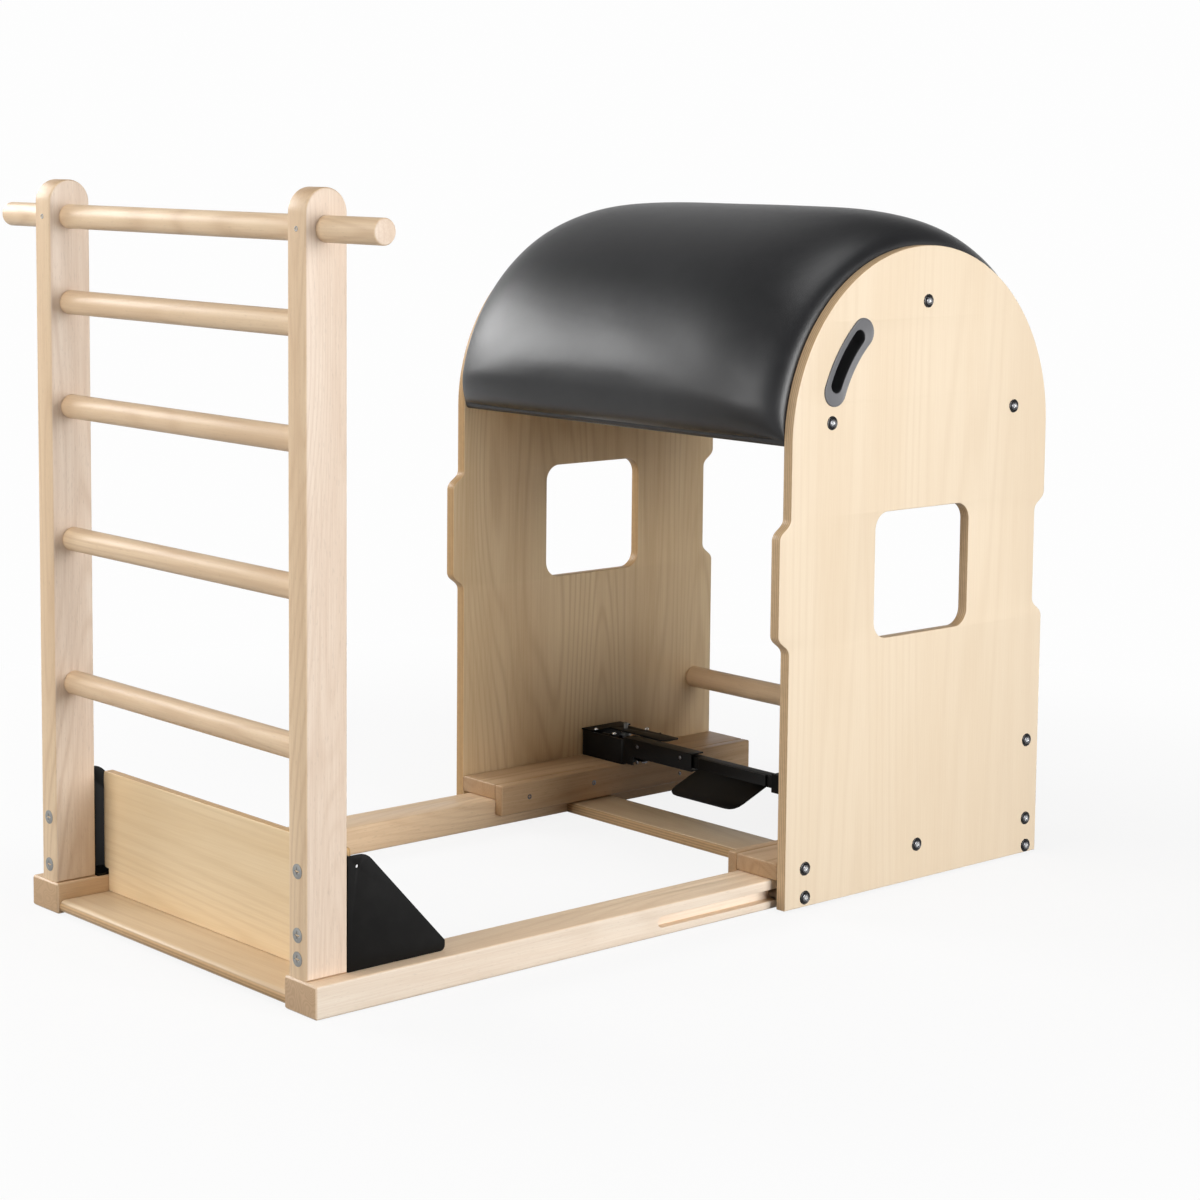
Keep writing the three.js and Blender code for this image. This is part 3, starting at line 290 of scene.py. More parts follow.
@dataclass(frozen=True)
class Wood(Finish):
    """Lacquered wood. Growth lines are contours of a slow noise drawn out along the grain, so that they close
    in long arches on a flat-sawn face. Fine fibres and short dark pores run over them."""

    early: Colour
    late: Colour
    grain: Axis
    figure: float = 8.0
    lines: float = 24.0
    line_depth: float = 0.5
    drawn: float = 0.13
    pores: float = 0.0
    plies: Axis | None = None
    ply_pair: float = 0.0044
    # Painted light: faces turned along this axis are tinted lighter and pinker, standing in for the key
    # light's sheen
    painted_light_axis: Axis | None = None
    painted_light_tint: Colour = (1.0, 1.0, 1.0)
    end_depth: float = 0.7
    seed: float = 0.0
    roughness: float = 0.46

    def _drawn_out(self, g: Graph, pattern: Pattern) -> Value:
        """A noise on the place with its part along the grain made shorter, which draws the noise out."""
        scale = tuple(pattern.drawn if axis is self.grain else 1.0 for axis in Axis)
        return g.noise(g.scaled(g.place, scale, self.seed), pattern)

    def _face(self, g: Graph, fibres: Value) -> Value:
        """The colour of a lacquered face: a growth line is the cube of a wave along the contours.

        Args:
            g: The material's graph.
            fibres: The noise of the fibres.

        Returns:
            The colour.
        """
        contour = self._drawn_out(g, Pattern(self.figure, 1.2, 0.4, self.drawn))
        line = (contour * (2 * math.pi * self.lines)).wave().power(3.0)
        streaks = self._drawn_out(g, STREAKS)
        amount = streaks.step(0.3, 0.7) * 0.55 + fibres.step(0.25, 0.75) * 0.45
        colour = g.blend(amount, self.late, self.early)
        depth = line * streaks.step(0.2, 0.65) * self.line_depth
        colour = g.blend(depth, colour, toned(self.late, LINE_SHADE))
        if self.pores > 0:
            pores = self._drawn_out(g, PORES).step(0.64, 0.72)
            colour = g.blend(pores * self.pores, colour, toned(self.late, PORE_SHADE))
        return colour

    def sockets(self, g: Graph) -> dict:
        """The face, with painted light on the sides that face its painted light axis, which are tinted
        lighter and pinker as the key light's sheen, and with rings on its end grain or bands on the plies'
        edges.

        Args:
            g: The material's graph.

        Returns:
            The shader's inputs.
        """
        normal = g.place.other("Normal")
        fibres = self._drawn_out(g, FIBRES)
        colour = self._face(g, fibres)
        height = fibres
        if self.painted_light_axis is not None:
            # Painted light: the sides facing the axis take the tint in place of the key light's sheen
            painted_side = abs(g.part(normal, self.painted_light_axis)).step(0.6, 0.95)
            colour = g.blend(painted_side, colour, g.blend(1.0, colour, self.painted_light_tint, "MULTIPLY"))
        if self.plies is None:
            end = abs(g.part(normal, self.grain)).step(0.6, 0.9)
            rings = (g.noise(g.place, END_RINGS) * END_RING_COUNT).wave()
            end_colour = g.blend(rings * 0.5, toned(self.late, END_PALE), toned(self.late, END_DARK))
            colour = g.blend(end * self.end_depth, colour, end_colour)
        else:
            edge = 1.0 - abs(g.part(normal, self.plies)).step(0.45, 0.75)
            band = (g.part(g.place, self.plies) * (2 * math.pi / self.ply_pair)).wave()
            pale = band.step(0.15, 0.85) * 0.6 + g.noise(g.place, PLY_PATCHES) * 0.4
            ply_colour = g.blend(pale, toned(self.late, PLY_DARK), toned(self.late, PLY_PALE))
            colour = g.blend(edge, colour, ply_colour)
            height = fibres + band * edge * 0.6
        return {
            "Base Color": colour,
            "Roughness": fibres * 0.12 + (self.roughness - 0.06),
            "Specular IOR Level": 0.35,
            "Coat Weight": 0.08,
            "Coat Roughness": 0.2,
            "Normal": g.bump(height, 0.00018, 0.35),
        }


@dataclass(frozen=True)
class Leather(Finish):
    """Grained upholstery leather. Pebbles of a few millimetres carry fine cells of a millimetre, and a slow
    noise lets the foam show through."""

    colour: Colour
    cells: float = 900.0
    roughness: float = 0.34

    def sockets(self, g: Graph) -> dict:
        """The shader's inputs; the bump is the weighted sum of the three patterns.

        Args:
            g: The material's graph.

        Returns:
            The shader's inputs.
        """
        inputs = {"Vector": g.place, "Scale": self.cells}
        cells = g.node("ShaderNodeTexVoronoi", {"feature": "DISTANCE_TO_EDGE"}, inputs).step(0.0, 0.16)
        pebbles, foam = g.noise(g.place, PEBBLES), g.noise(g.place, FOAM)
        worn = foam.step(0.35, 0.75) * 0.4 + cells * 0.2
        return {
            "Base Color": g.blend(worn, self.colour, toned(self.colour, 1.4, 0.003)),
            "Roughness": pebbles * 0.08 + (1.0 - cells) * 0.06 + (self.roughness - 0.06),
            "Specular IOR Level": 0.5,
            "Normal": g.bump(pebbles * 0.6 + cells * 0.25 + foam * 1.2, 0.00035, 0.4),
        }


@dataclass(frozen=True)
class Skinned(Finish):
    """A skin with a fine pattern and a slow one. The slow one changes its tone in patches, and both make it
    duller."""

    colour: Colour
    roughness: float
    fine: Pattern
    slow: Pattern
    patches: tuple[Pair, float]
    speckle: float
    tone: Pair
    dulling: Pair
    relief: Pair
    metallic: float = 0.0
    specular: float = 0.5

    def sockets(self, g: Graph) -> dict:
        """The shader's inputs. The roughness is its mean where both patterns are a half.

        Args:
            g: The material's graph.

        Returns:
            The shader's inputs.
        """
        fine, slow = g.noise(g.place, self.fine), g.noise(g.place, self.slow)
        (low, high), share = self.patches
        toning = slow.step(low, high) * share + fine * self.speckle
        mean = self.roughness - sum(self.dulling) / 2
        return {
            "Base Color": g.blend(toning, self.colour, toned(self.colour, *self.tone)),
            "Metallic": self.metallic,
            "Roughness": fine * self.dulling[0] + slow * self.dulling[1] + mean,
            "Specular IOR Level": self.specular,
            "Normal": g.bump(fine, *self.relief),
        }


# Satin powder coat with its orange peel, plated or bare steel, and moulded plastic with a spark-eroded skin
powder_coat = partial(
    Skinned, fine=PEEL, slow=HANDLING, patches=((0.4, 0.8), 0.5), speckle=0.2, tone=(1.8, 0.004),
    dulling=(0.08, 0.12), relief=(0.0001, 0.45), specular=0.12,
)
metal = partial(
    Skinned, fine=HAZE, slow=STAIN, patches=((0.35, 0.8), 0.6), speckle=0.0, tone=(0.72, 0.0),
    dulling=(0.16, 0.0), relief=(0.00005, 0.4), metallic=1.0,
)
moulded = partial(
    Skinned, fine=SKIN, slow=FLOW, patches=((0.3, 0.8), 0.6), speckle=0.2, tone=(0.8, 0.0),
    dulling=(0.1, 0.1), relief=(0.00006, 0.4),
)

# Early and late wood, and the painted light tints of the sides that face Y
MAPLE = (0.85, 0.65, 0.435), (0.70, 0.49, 0.305)
BIRCH = (0.86, 0.70, 0.49), (0.73, 0.54, 0.34)
# Painted light: a paler, less saturated copy of the birch for the near panel, standing in for the key light's
# sheen on the near side
BIRCH_PAINTED_LIGHT = (0.86, 0.72, 0.545), (0.80, 0.645, 0.465)
# Painted shade: a darker, more saturated copy of the panel birch for the far panel, which stands in the shade
# of the near panel and the pad
BIRCH_PAINTED_SHADE = (0.83, 0.66, 0.43), (0.68, 0.49, 0.28)
KICK_BIRCH = (0.92, 0.73, 0.475), (0.81, 0.60, 0.35)
# Painted shade: a darker, more saturated copy of the wood for the runners and keepers, which sit in the shade
# inside the barrel
BEECH_PAINTED_SHADE = (0.67, 0.48, 0.30), (0.50, 0.32, 0.175)
# Painted light: a paler, less saturated copy of the maple for the near rail, standing in for the key light on
# the near side
MAPLE_PAINTED_LIGHT = (0.92, 0.74, 0.54), (0.77, 0.57, 0.39)
# Painted light tints for the sides facing Y: lighter and pinker, as the key light's sheen
PINK_PAINTED_LIGHT = {"painted_light_axis": Axis.Y, "painted_light_tint": (1.07, 1.19, 1.48)}
ROSY_PAINTED_LIGHT = {"painted_light_axis": Axis.Y, "painted_light_tint": (1.04, 1.15, 1.33)}
PANEL_PLIES = {"plies": Axis.Y, "ply_pair": 0.0036}


class Look(Enum):
    """Every finish of the object, by its use."""

    UPRIGHT = Wood("maple_upright", *MAPLE, Axis.Z, 8.0, 34.0, 0.4, pores=0.3, seed=3.0, **PINK_PAINTED_LIGHT)
    # The rungs' ends face Y: they keep little end-grain colour and take the painted light tint
    RUNG = Wood("maple_rung", *MAPLE, Axis.Y, 8.0, 24.0, 0.4, pores=0.25, end_depth=0.1, seed=1.0, **PINK_PAINTED_LIGHT)
    RAIL = Wood(
        "maple_rail", *MAPLE_PAINTED_LIGHT, Axis.X, 7.0, 30.0, 0.35, pores=0.3, end_depth=1.0, seed=5.0, **ROSY_PAINTED_LIGHT
    )
    FAR_RAIL = Wood("maple_far_rail", *MAPLE, Axis.X, 7.0, 30.0, 0.35, pores=0.3, end_depth=0.85, seed=5.5)
    BOARD = Wood("birch_board", *BIRCH, Axis.Y, 6.0, 26.0, 0.28, 0.07, plies=Axis.Z, seed=7.0)
    KICK = Wood("birch_kick_board", *KICK_BIRCH, Axis.Y, 5.0, 28.0, 0.25, 0.06, plies=Axis.X, seed=8.0)
    PANEL = Wood("birch_panel", *BIRCH_PAINTED_LIGHT, Axis.Z, 4.5, 26.0, 0.17, 0.05, seed=2.0, **PANEL_PLIES)
    FAR_PANEL = Wood("birch_far_panel", *BIRCH_PAINTED_SHADE, Axis.Z, 5.5, 32.0, 0.45, 0.12, seed=6.0, **PANEL_PLIES)
    RUNNER = Wood("beech_runner", *BEECH_PAINTED_SHADE, Axis.X, 7.0, 16.0, 0.6, 0.1, pores=0.35, seed=9.0)
    DECK = Wood("birch_deck", *BIRCH, Axis.Y, seed=4.0)
    LEATHER = Leather("charcoal_leather", (0.0078, 0.008, 0.0092))
    BLACK_STEEL = powder_coat("black_powder_coat", (0.0032, 0.003, 0.0028), 0.42)
    ZINC = metal("zinc_plate", (0.34, 0.34, 0.33), 0.42)
    # Bright plate: the strap screws' own finish; in the panel bolts' sockets it is a painted glint
    BRIGHT = metal("bright_plate", (0.80, 0.81, 0.82), 0.22)
    GUNMETAL = metal("gunmetal", (0.17, 0.17, 0.18), 0.28)
    DARK_BOLT = metal("black_oxide", (0.045, 0.044, 0.045), 0.36)
    PLASTIC = moulded("grey_plastic", (0.155, 0.155, 0.163), 0.45)
    # Painted shade: near-black plastic on the handle cup's wall and floor, standing in for the shade in the
    # recess
    DARK_PLASTIC = moulded("dark_plastic", (0.03, 0.03, 0.032), 0.5)
    TONGUE = moulded("brown_nylon", (0.13, 0.085, 0.05), 0.5)
    NYLON = moulded("nylon", (0.025, 0.025, 0.027), 0.55)


@cache
def material(look: Look) -> bpy.types.Material:
    """The material of a finish, made when it is first asked for."""
    return look.value.material()


# Surfaces


def turned_loop(axis: Axis, first: np.ndarray, second: np.ndarray, depth: np.ndarray | float) -> np.ndarray:
    """Points drawn across an axis.

    Args:
        axis: The axis.
        first: The first of the two parts that lie across it, in X, Y, Z order.
        second: The other one.
        depth: The part along it.

    Returns:
        The points.
    """
    depth = np.broadcast_to(depth, np.shape(first))
    parts = {Axis.X: (depth, first, second), Axis.Y: (first, depth, second), Axis.Z: (first, second, depth)}
    return np.stack(parts[axis], axis=-1)


def inset(loop: np.ndarray, distance: float) -> np.ndarray:
    """Moves a closed loop to its left: each point goes along the sum of its two sides' normals, divided by
    one plus their product, which keeps every side parallel to itself.

    Args:
        loop: The loop's points, in two parts.
        distance: How far each side moves.

    Returns:
        The moved loop.
    """
    ahead = np.roll(loop, -1, axis=0) - loop
    ahead /= np.linalg.norm(ahead, axis=1, keepdims=True)
    after = np.stack([-ahead[:, 1], ahead[:, 0]], axis=1)
    before = np.roll(after, 1, axis=0)
    product = np.sum(before * after, axis=1, keepdims=True)
    return loop + distance * (before + after) / (1.0 + product)


def arc(centre: Pair, radius: float, start: float, end: float, steps: int) -> np.ndarray:
    """Points of a circular arc from one angle to another, in degrees."""
    angle = np.radians(np.linspace(start, end, steps + 1))
    return np.stack([centre[0] + radius * np.cos(angle), centre[1] + radius * np.sin(angle)], axis=1)


def rounded_rectangle(low: Pair, high: Pair, radius: float, steps: int = 5) -> np.ndarray:
    """A rectangle with four quarter-circle corners, counter-clockwise.

    Args:
        low: Its lower corner.
        high: Its upper corner.
        radius: The radius of its corners.
        steps: Sides in each quarter circle.

    Returns:
        The loop.
    """
    (a0, b0), (a1, b1) = (low[0] + radius, low[1] + radius), (high[0] - radius, high[1] - radius)
    centres = [(a1, b0), (a1, b1), (a0, b1), (a0, b0)]
    return np.concatenate([arc(c, radius, 90 * k - 90, 90 * k, steps) for k, c in enumerate(centres)])


def linked(name: str, data: bpy.types.ID) -> bpy.types.Object:
    """A new object of the scene.

    Args:
        name: Its name.
        data: Its mesh, camera or light.

    Returns:
        The object.
    """
    made = bpy.data.objects.new(name, data)
    bpy.context.scene.collection.objects.link(made)
    return made


def riding(name: str, mesh: bpy.types.Mesh, body: str, slot: str, replaces: str) -> bpy.types.Object:
    """Makes a mesh one object that rides on a body.

    Args:
        name: The piece's name.
        mesh: Its mesh.
        body: The CAD body that it rides on.
        slot: The record's material slot; not used.
        replaces: The CAD node that it stands for, or nothing.

    Returns:
        The object.
    """
    made = linked(name, mesh)
    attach(made, body)
    if replaces:
        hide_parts(replaces)
    log.info("%s: %d faces on %s", name, len(mesh.polygons), body)
    return made


def finished(mesh: bpy.types.Mesh, *looks: Look) -> None:
    """Gives a mesh its finishes in place of any others. Only a list that holds some is cleared, because that
    sets the numbers of a new mesh's faces to zero.

    Args:
        mesh: The mesh.
        looks: The finishes, in the order that faces number them.
    """
    if len(mesh.materials):
        mesh.materials.clear()
    for look in looks:
        mesh.materials.append(material(look))


def cleaned(mesh: bpy.types.Mesh, flatten: bool, *looks: Look) -> None:
    """Merges points that are one, turns faces outward and gives the mesh its finishes.

    Args:
        mesh: The mesh.
        flatten: Whether the triangles of each flat face are joined; else edges without length are dropped.
        looks: Its finishes.
    """
    work = bmesh.new()
    work.from_mesh(mesh)
    bmesh.ops.remove_doubles(work, verts=work.verts, dist=SAME_POINT)
    if not flatten:
        bmesh.ops.dissolve_degenerate(work, edges=work.edges, dist=NO_LENGTH)
    bmesh.ops.recalc_face_normals(work, faces=work.faces)
    if flatten:
        flat = math.radians(FLAT_DEGREES)
        bmesh.ops.dissolve_limit(work, angle_limit=flat, verts=work.verts, edges=work.edges)
    work.to_mesh(mesh)
    work.free()
    finished(mesh, *looks)


@dataclass
class Surface:
    """Points and faces of one piece, gathered from grids and caps. Faces get the finish that is current."""

    finish: int = 0
    points: list[np.ndarray] = field(default_factory=list)
    faces: list[list[int]] = field(default_factory=list)
    smooth: list[bool] = field(default_factory=list)
    finishes: list[int] = field(default_factory=list)
    count: int = 0

    def _add(self, points: np.ndarray, faces: list[list[int]], smooth: bool) -> "Surface":
        """Appends points and the faces between them.

        Args:
            points: The points.
            faces: The places of each face's corners among them.
            smooth: Whether the faces are shaded smooth.

        Returns:
            The surface itself.
        """
        self.points.append(points)
        self.faces.extend([[corner + self.count for corner in face] for face in faces])
        self.smooth.extend([smooth] * len(faces))
        self.finishes.extend([self.finish] * len(faces))
        self.count += len(points)
        return self

    def grid(self, points: np.ndarray) -> "Surface":
        """Adds a grid of points with a quad between neighbours, its last column joined to its first.

        Args:
            points: An array of rows, columns and 3 parts.

        Returns:
            The surface itself.
        """
        rows, columns = points.shape[:2]
        index = np.arange(rows * columns).reshape(rows, columns)
        index = np.hstack([index, index[:, :1]])
        quads = np.stack([index[:-1, :-1], index[:-1, 1:], index[1:, 1:], index[1:, :-1]], axis=-1)
        return self._add(points.reshape(-1, 3), quads.reshape(-1, 4).tolist(), True)

    def cap(self, loops: list[np.ndarray]) -> "Surface":
        """Fills a flat outline, less the holes whose points come after its own, with triangles."""
        faces = tessellate_polygon([[Vector(point) for point in loop] for loop in loops])
        return self._add(np.concatenate(loops), [list(face) for face in faces], False)

    def plate(
        self, loops: list[np.ndarray], axis: Axis, low: float, high: float, rounding: float, steps: int = 4
    ) -> "Surface":
        """Adds a plate whose edges are rounded by quarter circles.

        Args:
            loops: The outline counter-clockwise, then its holes clockwise, in the two parts across the axis.
            axis: The axis through the plate.
            low: The plate's lower face.
            high: The plate's upper face.
            rounding: The radius of its edges.
            steps: Faces in each quarter circle.

        Returns:
            The surface itself.
        """
        turn = np.linspace(0, math.pi / 2, steps + 1)
        insets = rounding * (1 - np.sin(turn))
        depths = rounding * (1 - np.cos(turn))
        stations = list(zip(insets, low + depths)) + list(zip(insets[::-1], high - depths[::-1]))
        for loop in loops:
            rings = [turned_loop(axis, *inset(loop, distance).T, depth) for distance, depth in stations]
            self.grid(np.array(rings))
        for depth in (low, high):
            self.cap([turned_loop(axis, *inset(loop, rounding).T, depth) for loop in loops])
        return self

    def block(self, low: Vector | Place, high: Vector | Place, rounding: float, axis: Axis) -> "Surface":
        """Adds a box with rounded edges, its rounded rectangle carried along an axis.

        Args:
            low: Its lower corner.
            high: Its upper corner.
            rounding: The radius of its edges.
            axis: The axis.

        Returns:
            The surface itself.
        """
        a, b = [k for k in range(3) if k != axis.value]
        outline = rounded_rectangle((low[a], low[b]), (high[a], high[b]), 1.3 * rounding + 0.0001)
        return self.plate([outline], axis, low[axis.value], high[axis.value], rounding)

    def lathe(self, profile: list[Pair], axis: Axis, centre: Place, sign: float, sides: int) -> "Surface":
        """Adds a profile of radius and height turned round an axis through a point.

        Args:
            profile: Radius and height of each ring.
            axis: The axis to turn round.
            centre: The point where height is zero.
            sign: Which way heights run along the axis.
            sides: Faces round the axis.

        Returns:
            The surface itself.
        """
        radius, height = np.array(profile).T
        angle = np.linspace(0, 2 * math.pi, sides, endpoint=False)
        first, second = radius[:, None] * np.cos(angle), radius[:, None] * np.sin(angle)
        depth = np.repeat(sign * height[:, None], sides, axis=1)
        return self.grid(turned_loop(axis, first, second, depth) + np.array(centre))

    def piece(
        self, name: str, body: str, slot: str, *looks: Look, replaces: str = "", crease: float = 40.0
    ) -> bpy.types.Object:
        """Makes the gathered surface one object that rides on a body.

        Args:
            name: The piece's name.
            body: The CAD body that it rides on.
            slot: The record's material slot; not used.
            looks: Its finishes, in the order that faces number them.
            replaces: The CAD node that it stands for, or nothing.
            crease: Edges that turn by more degrees than this are sharp.

        Returns:
            The object.
        """
        mesh = bpy.data.meshes.new(name)
        mesh.from_pydata(np.concatenate(self.points).tolist(), [], self.faces)
        mesh.polygons.foreach_set("use_smooth", self.smooth)
        mesh.polygons.foreach_set("material_index", self.finishes)
        cleaned(mesh, False, *looks)
        mesh.set_sharp_from_angle(angle=math.radians(crease))
        return riding(name, mesh, body, slot, replaces)


def dress(look: Look, *names: str) -> None:
    """Gives CAD nodes that stay in sight their finish."""
    for name in names:
        finished(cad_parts[name].data, look)


def softened(node: str, body: str, slot: str, look: Look, width: float, segments: int = 3) -> None:
    """Makes a piece of a CAD node's own form with its edges rounded. The triangles of each flat face are
    joined, and every sharp edge gets a bevel of circular section.

    Args:
        node: The CAD node to copy and replace.
        body: The CAD body that it rides on.
        slot: The record's material slot; not used.
        look: Its finish.
        width: How far the bevel reaches along each face.
        segments: Faces across the bevel.
    """
    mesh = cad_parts[node].data.copy()
    mesh.name = f"{node}_form"
    cleaned(mesh, True, look)
    mesh.polygons.foreach_set("use_smooth", [True] * len(mesh.polygons))
    bevel = riding(mesh.name, mesh, body, slot, node).modifiers.new("rounding", "BEVEL")
    bevel.width, bevel.segments = width, segments
    bevel.limit_method, bevel.angle_limit = "ANGLE", math.radians(BEVEL_DEGREES)
    bevel.harden_normals = True


# Fasteners


def pan_head(radius: float, height: float) -> list[Pair]:
    """Radius and height of a pan head: a short wall, an elliptical crown and a shallow socket.

    Args:
        radius: The head's radius.
        height: The head's height.

    Returns:
        The profile, from the middle of its foot to the middle of its socket.
    """
    turn = np.linspace(0, math.pi / 2, 5)
    crown = [(radius * (0.55 + 0.45 * math.cos(t)), height * (0.45 + 0.55 * math.sin(t))) for t in turn]
    socket = [(0.42 * radius, height), (0.36 * radius, 0.45 * height), (0.0, 0.4 * height)]
    return [(0.0, 0.0), (radius, 0.0)] + crown + socket


@dataclass(frozen=True)
class CrossScrew:
    """A screw with a domed head and a cross recess. Its shank is a profile of radius and height."""

    radius: float
    seat: float
    dome: float
    recess: float
    bar: float
    shank: tuple[Pair, ...]
    rings: int = 22
    sides: int = 64
    reach: float = 0.56
    fade: float = 0.12

    def _bar(self, across: np.ndarray, length: np.ndarray) -> np.ndarray:
        """How deep a point is in one bar of the cross, from 0 to 1: it falls off over half the bar's width
        and near its end.

        Args:
            across: The distance from the bar's middle line.
            length: The distance along it.

        Returns:
            The depth as a share.
        """
        side = np.clip((self.bar - np.abs(across)) / (0.5 * self.bar), 0, 1)
        end = np.clip((self.reach * self.radius - np.abs(length)) / (self.fade * self.radius), 0, 1)
        return side * end

    def add(self, surface: Surface, axis: Axis, centre: Place, sign: float) -> None:
        """Adds the screw: the head is a parabola on a polar grid, less the deeper of the cross's two bars.

        Args:
            surface: The surface that it goes to.
            axis: The screw's axis.
            centre: The point where its height is zero.
            sign: Which way it looks along the axis.
        """
        spread = np.linspace(0, 1, self.rings)[:, None] * self.radius
        angle = np.linspace(0, 2 * math.pi, self.sides, endpoint=False)[None, :]
        a, b = spread * np.cos(angle), spread * np.sin(angle)
        recess = np.maximum(self._bar(a, b), self._bar(b, a))
        height = self.dome * (1 - (spread / self.radius) ** 2) - self.recess * recess
        surface.grid(np.array(centre) + turned_loop(axis, a, b, sign * (self.seat + height)))
        profile = [(self.radius, self.seat), *self.shank]
        surface.lathe(profile, axis, centre, sign, self.sides)


# Sub-assemblies


@dataclass
class Rungs:
    """Rods whose ends are rounded by quarter circles."""

    names: tuple[str, ...]
    body: str
    rounding: float = 0.003
    sides: int = 48

    def build(self) -> None:
        """Builds each rod in its node's box."""
        turn = np.linspace(0, math.pi / 2, 6)
        for name in self.names:
            low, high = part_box(name)
            radius, half = (high.z - low.z) / 2, (high.y - low.y) / 2
            wall, shoulder = radius - self.rounding, half - self.rounding
            end = [(wall + self.rounding * math.sin(t), shoulder + self.rounding * math.cos(t)) for t in turn]
            profile = [(0.0, half)] + end + [(r, -h) for r, h in reversed(end)] + [(0.0, -half)]
            centre = ((low.x + high.x) / 2, 0.0, (low.z + high.z) / 2)
            surface = Surface().lathe(profile, Axis.Y, centre, 1.0, self.sides)
            surface.piece(f"{name}_rod", self.body, "beech", Look.RUNG, replaces=name, crease=50.0)


@dataclass
class Ladder:
    """Two uprights with half-round tops, their rungs, and the screws in their front faces."""

    edge: float = 0.0035
    rungs: tuple[str, ...] = ("top_rung", "rung_2", "rung_3", "rung_4", "rung_5")
    # Millimetres above the rail on the near and the far side
    screw_rises: tuple = ((Side.NEAR, (26, 57, 140)), (Side.FAR, (24, 93)))
    shank: tuple = ((0.0098, -0.002), (0.004, -0.002), (0.004, -0.0695), (0.0, -0.0695))
    cup: tuple = ((0.0034, 0.0004), (0.0028, 0.0008), (0.0016, 0.0006), (0.0015, -0.0012), (0.0, -0.0016))
    cup_shank: tuple = ((0.0034, 0.0004), (0.0034, -0.010), (0.0, -0.010))

    def build(self) -> None:
        """Builds the uprights, screws and rungs."""
        for side, rises in self.screw_rises:
            self._upright(side)
            self._screws(side, rises)
        Rungs(self.rungs, "base").build()

    def _upright(self, side: Side) -> None:
        """Builds one upright: a half circle joined to a straight foot, its edges rounded.

        Args:
            side: Its side.
        """
        name = side.node("upright")
        low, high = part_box(name)
        radius = (high.x - low.x) / 2
        top = arc(((low.x + high.x) / 2, high.z - radius), radius, 0, 180, 56)
        outline = np.concatenate([[(low.x, low.z), (high.x, low.z)], top])
        surface = Surface().plate([outline], Axis.Y, low.y, high.y, self.edge)
        surface.piece(f"{name}_body", "base", "beech", Look.UPRIGHT, replaces=name)

    def _screws(self, side: Side, rises: tuple[float, ...]) -> None:
        """Builds the large screws in an upright's front face, and the small set screw by the top rung.

        Args:
            side: The upright's side.
            rises: The large screws' heights above the rail.
        """
        low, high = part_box(side.node("upright"))
        middle = (low.y + high.y) / 2
        rail_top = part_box(side.node("rail"))[1].z
        screw = CrossScrew(0.0098, 0.0006, 0.0009, 0.0024, 0.0012, self.shank)
        for number, rise in enumerate(rises, 1):
            surface = Surface()
            screw.add(surface, Axis.X, (low.x, middle, rail_top + rise * MM), -1.0)
            name = f"{side.node('upright_screw')}_{number}"
            surface.piece(f"{name}_head", "base", "bright_steel", Look.ZINC, replaces=name)
        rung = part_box("top_rung")
        centre = (low.x, middle, (rung[0].z + rung[1].z) / 2)
        surface = Surface()
        for profile in (self.cup, self.cup_shank):
            surface.lathe(profile, Axis.X, centre, -1.0, 32)
        surface.piece(side.node("set_screw"), "base", "bright_steel", Look.ZINC)


@dataclass
class FloorFrame:
    """Rails, the boards between them and the gussets."""

    rail_edge: float = 0.0022
    steel_edge: float = 0.0011
    board_edge: float = 0.0015
    plank_edge: float = 0.0008
    rail_gap: float = 0.0003
    step_rise: float = 0.009
    corner: float = 0.005

    def build(self) -> None:
        """Builds the rails, gussets and boards."""
        # The near rail takes the painted light copy of the maple, the far rail the plain maple
        for side, look in ((Side.NEAR, Look.RAIL), (Side.FAR, Look.FAR_RAIL)):
            softened(side.node("rail"), "base", "beech", look, self.rail_edge)
            softened(side.node("gusset"), "base", "black_steel", Look.BLACK_STEEL, self.steel_edge)
        self._plank()
        self._kick_board()
        surface = Surface().block(*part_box("cross_board"), self.board_edge, Axis.Y)
        surface.piece("cross_board_panel", "base", "ply", Look.BOARD, replaces="cross_board")

    def _plank(self) -> None:
        """Builds the foot plank: a half circle carries its front edge into its two faces."""
        low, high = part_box("foot_plank")
        radius = (high.z - low.z) / 2
        nose = arc((low.x + radius, low.z + radius), radius, 90, 270, 24)
        outline = np.concatenate([nose, [(high.x, low.z), (high.x, high.z)]])
        surface = Surface().plate([outline], Axis.Y, low.y, high.y, self.plank_edge, 2)
        surface.piece("foot_plank_board", "base", "ply", Look.BOARD, replaces="foot_plank", crease=60.0)

    def _kick_board(self) -> None:
        """Builds the kick board: it steps out over the rails, with rounded corners."""
        low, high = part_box("kick_board")
        rail_low, rail_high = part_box("rail_far")
        narrow, step = rail_low.y - self.rail_gap, rail_high.z + self.step_rise
        wide, foot, top = high.y - self.corner, step + self.corner, high.z - self.corner
        centres = [(wide, foot), (wide, top), (-wide, top), (-wide, foot)]
        corners = [arc(c, self.corner, 90 * k - 90, 90 * k, 6) for k, c in enumerate(centres)]
        start = [(-narrow, low.z), (narrow, low.z), (narrow, step)]
        outline = np.concatenate([start, *corners, [(-narrow, step)]])
        surface = Surface().plate([outline], Axis.X, low.x, high.x, self.board_edge)
        surface.piece("kick_board_panel", "base", "ply", Look.KICK, replaces="kick_board")


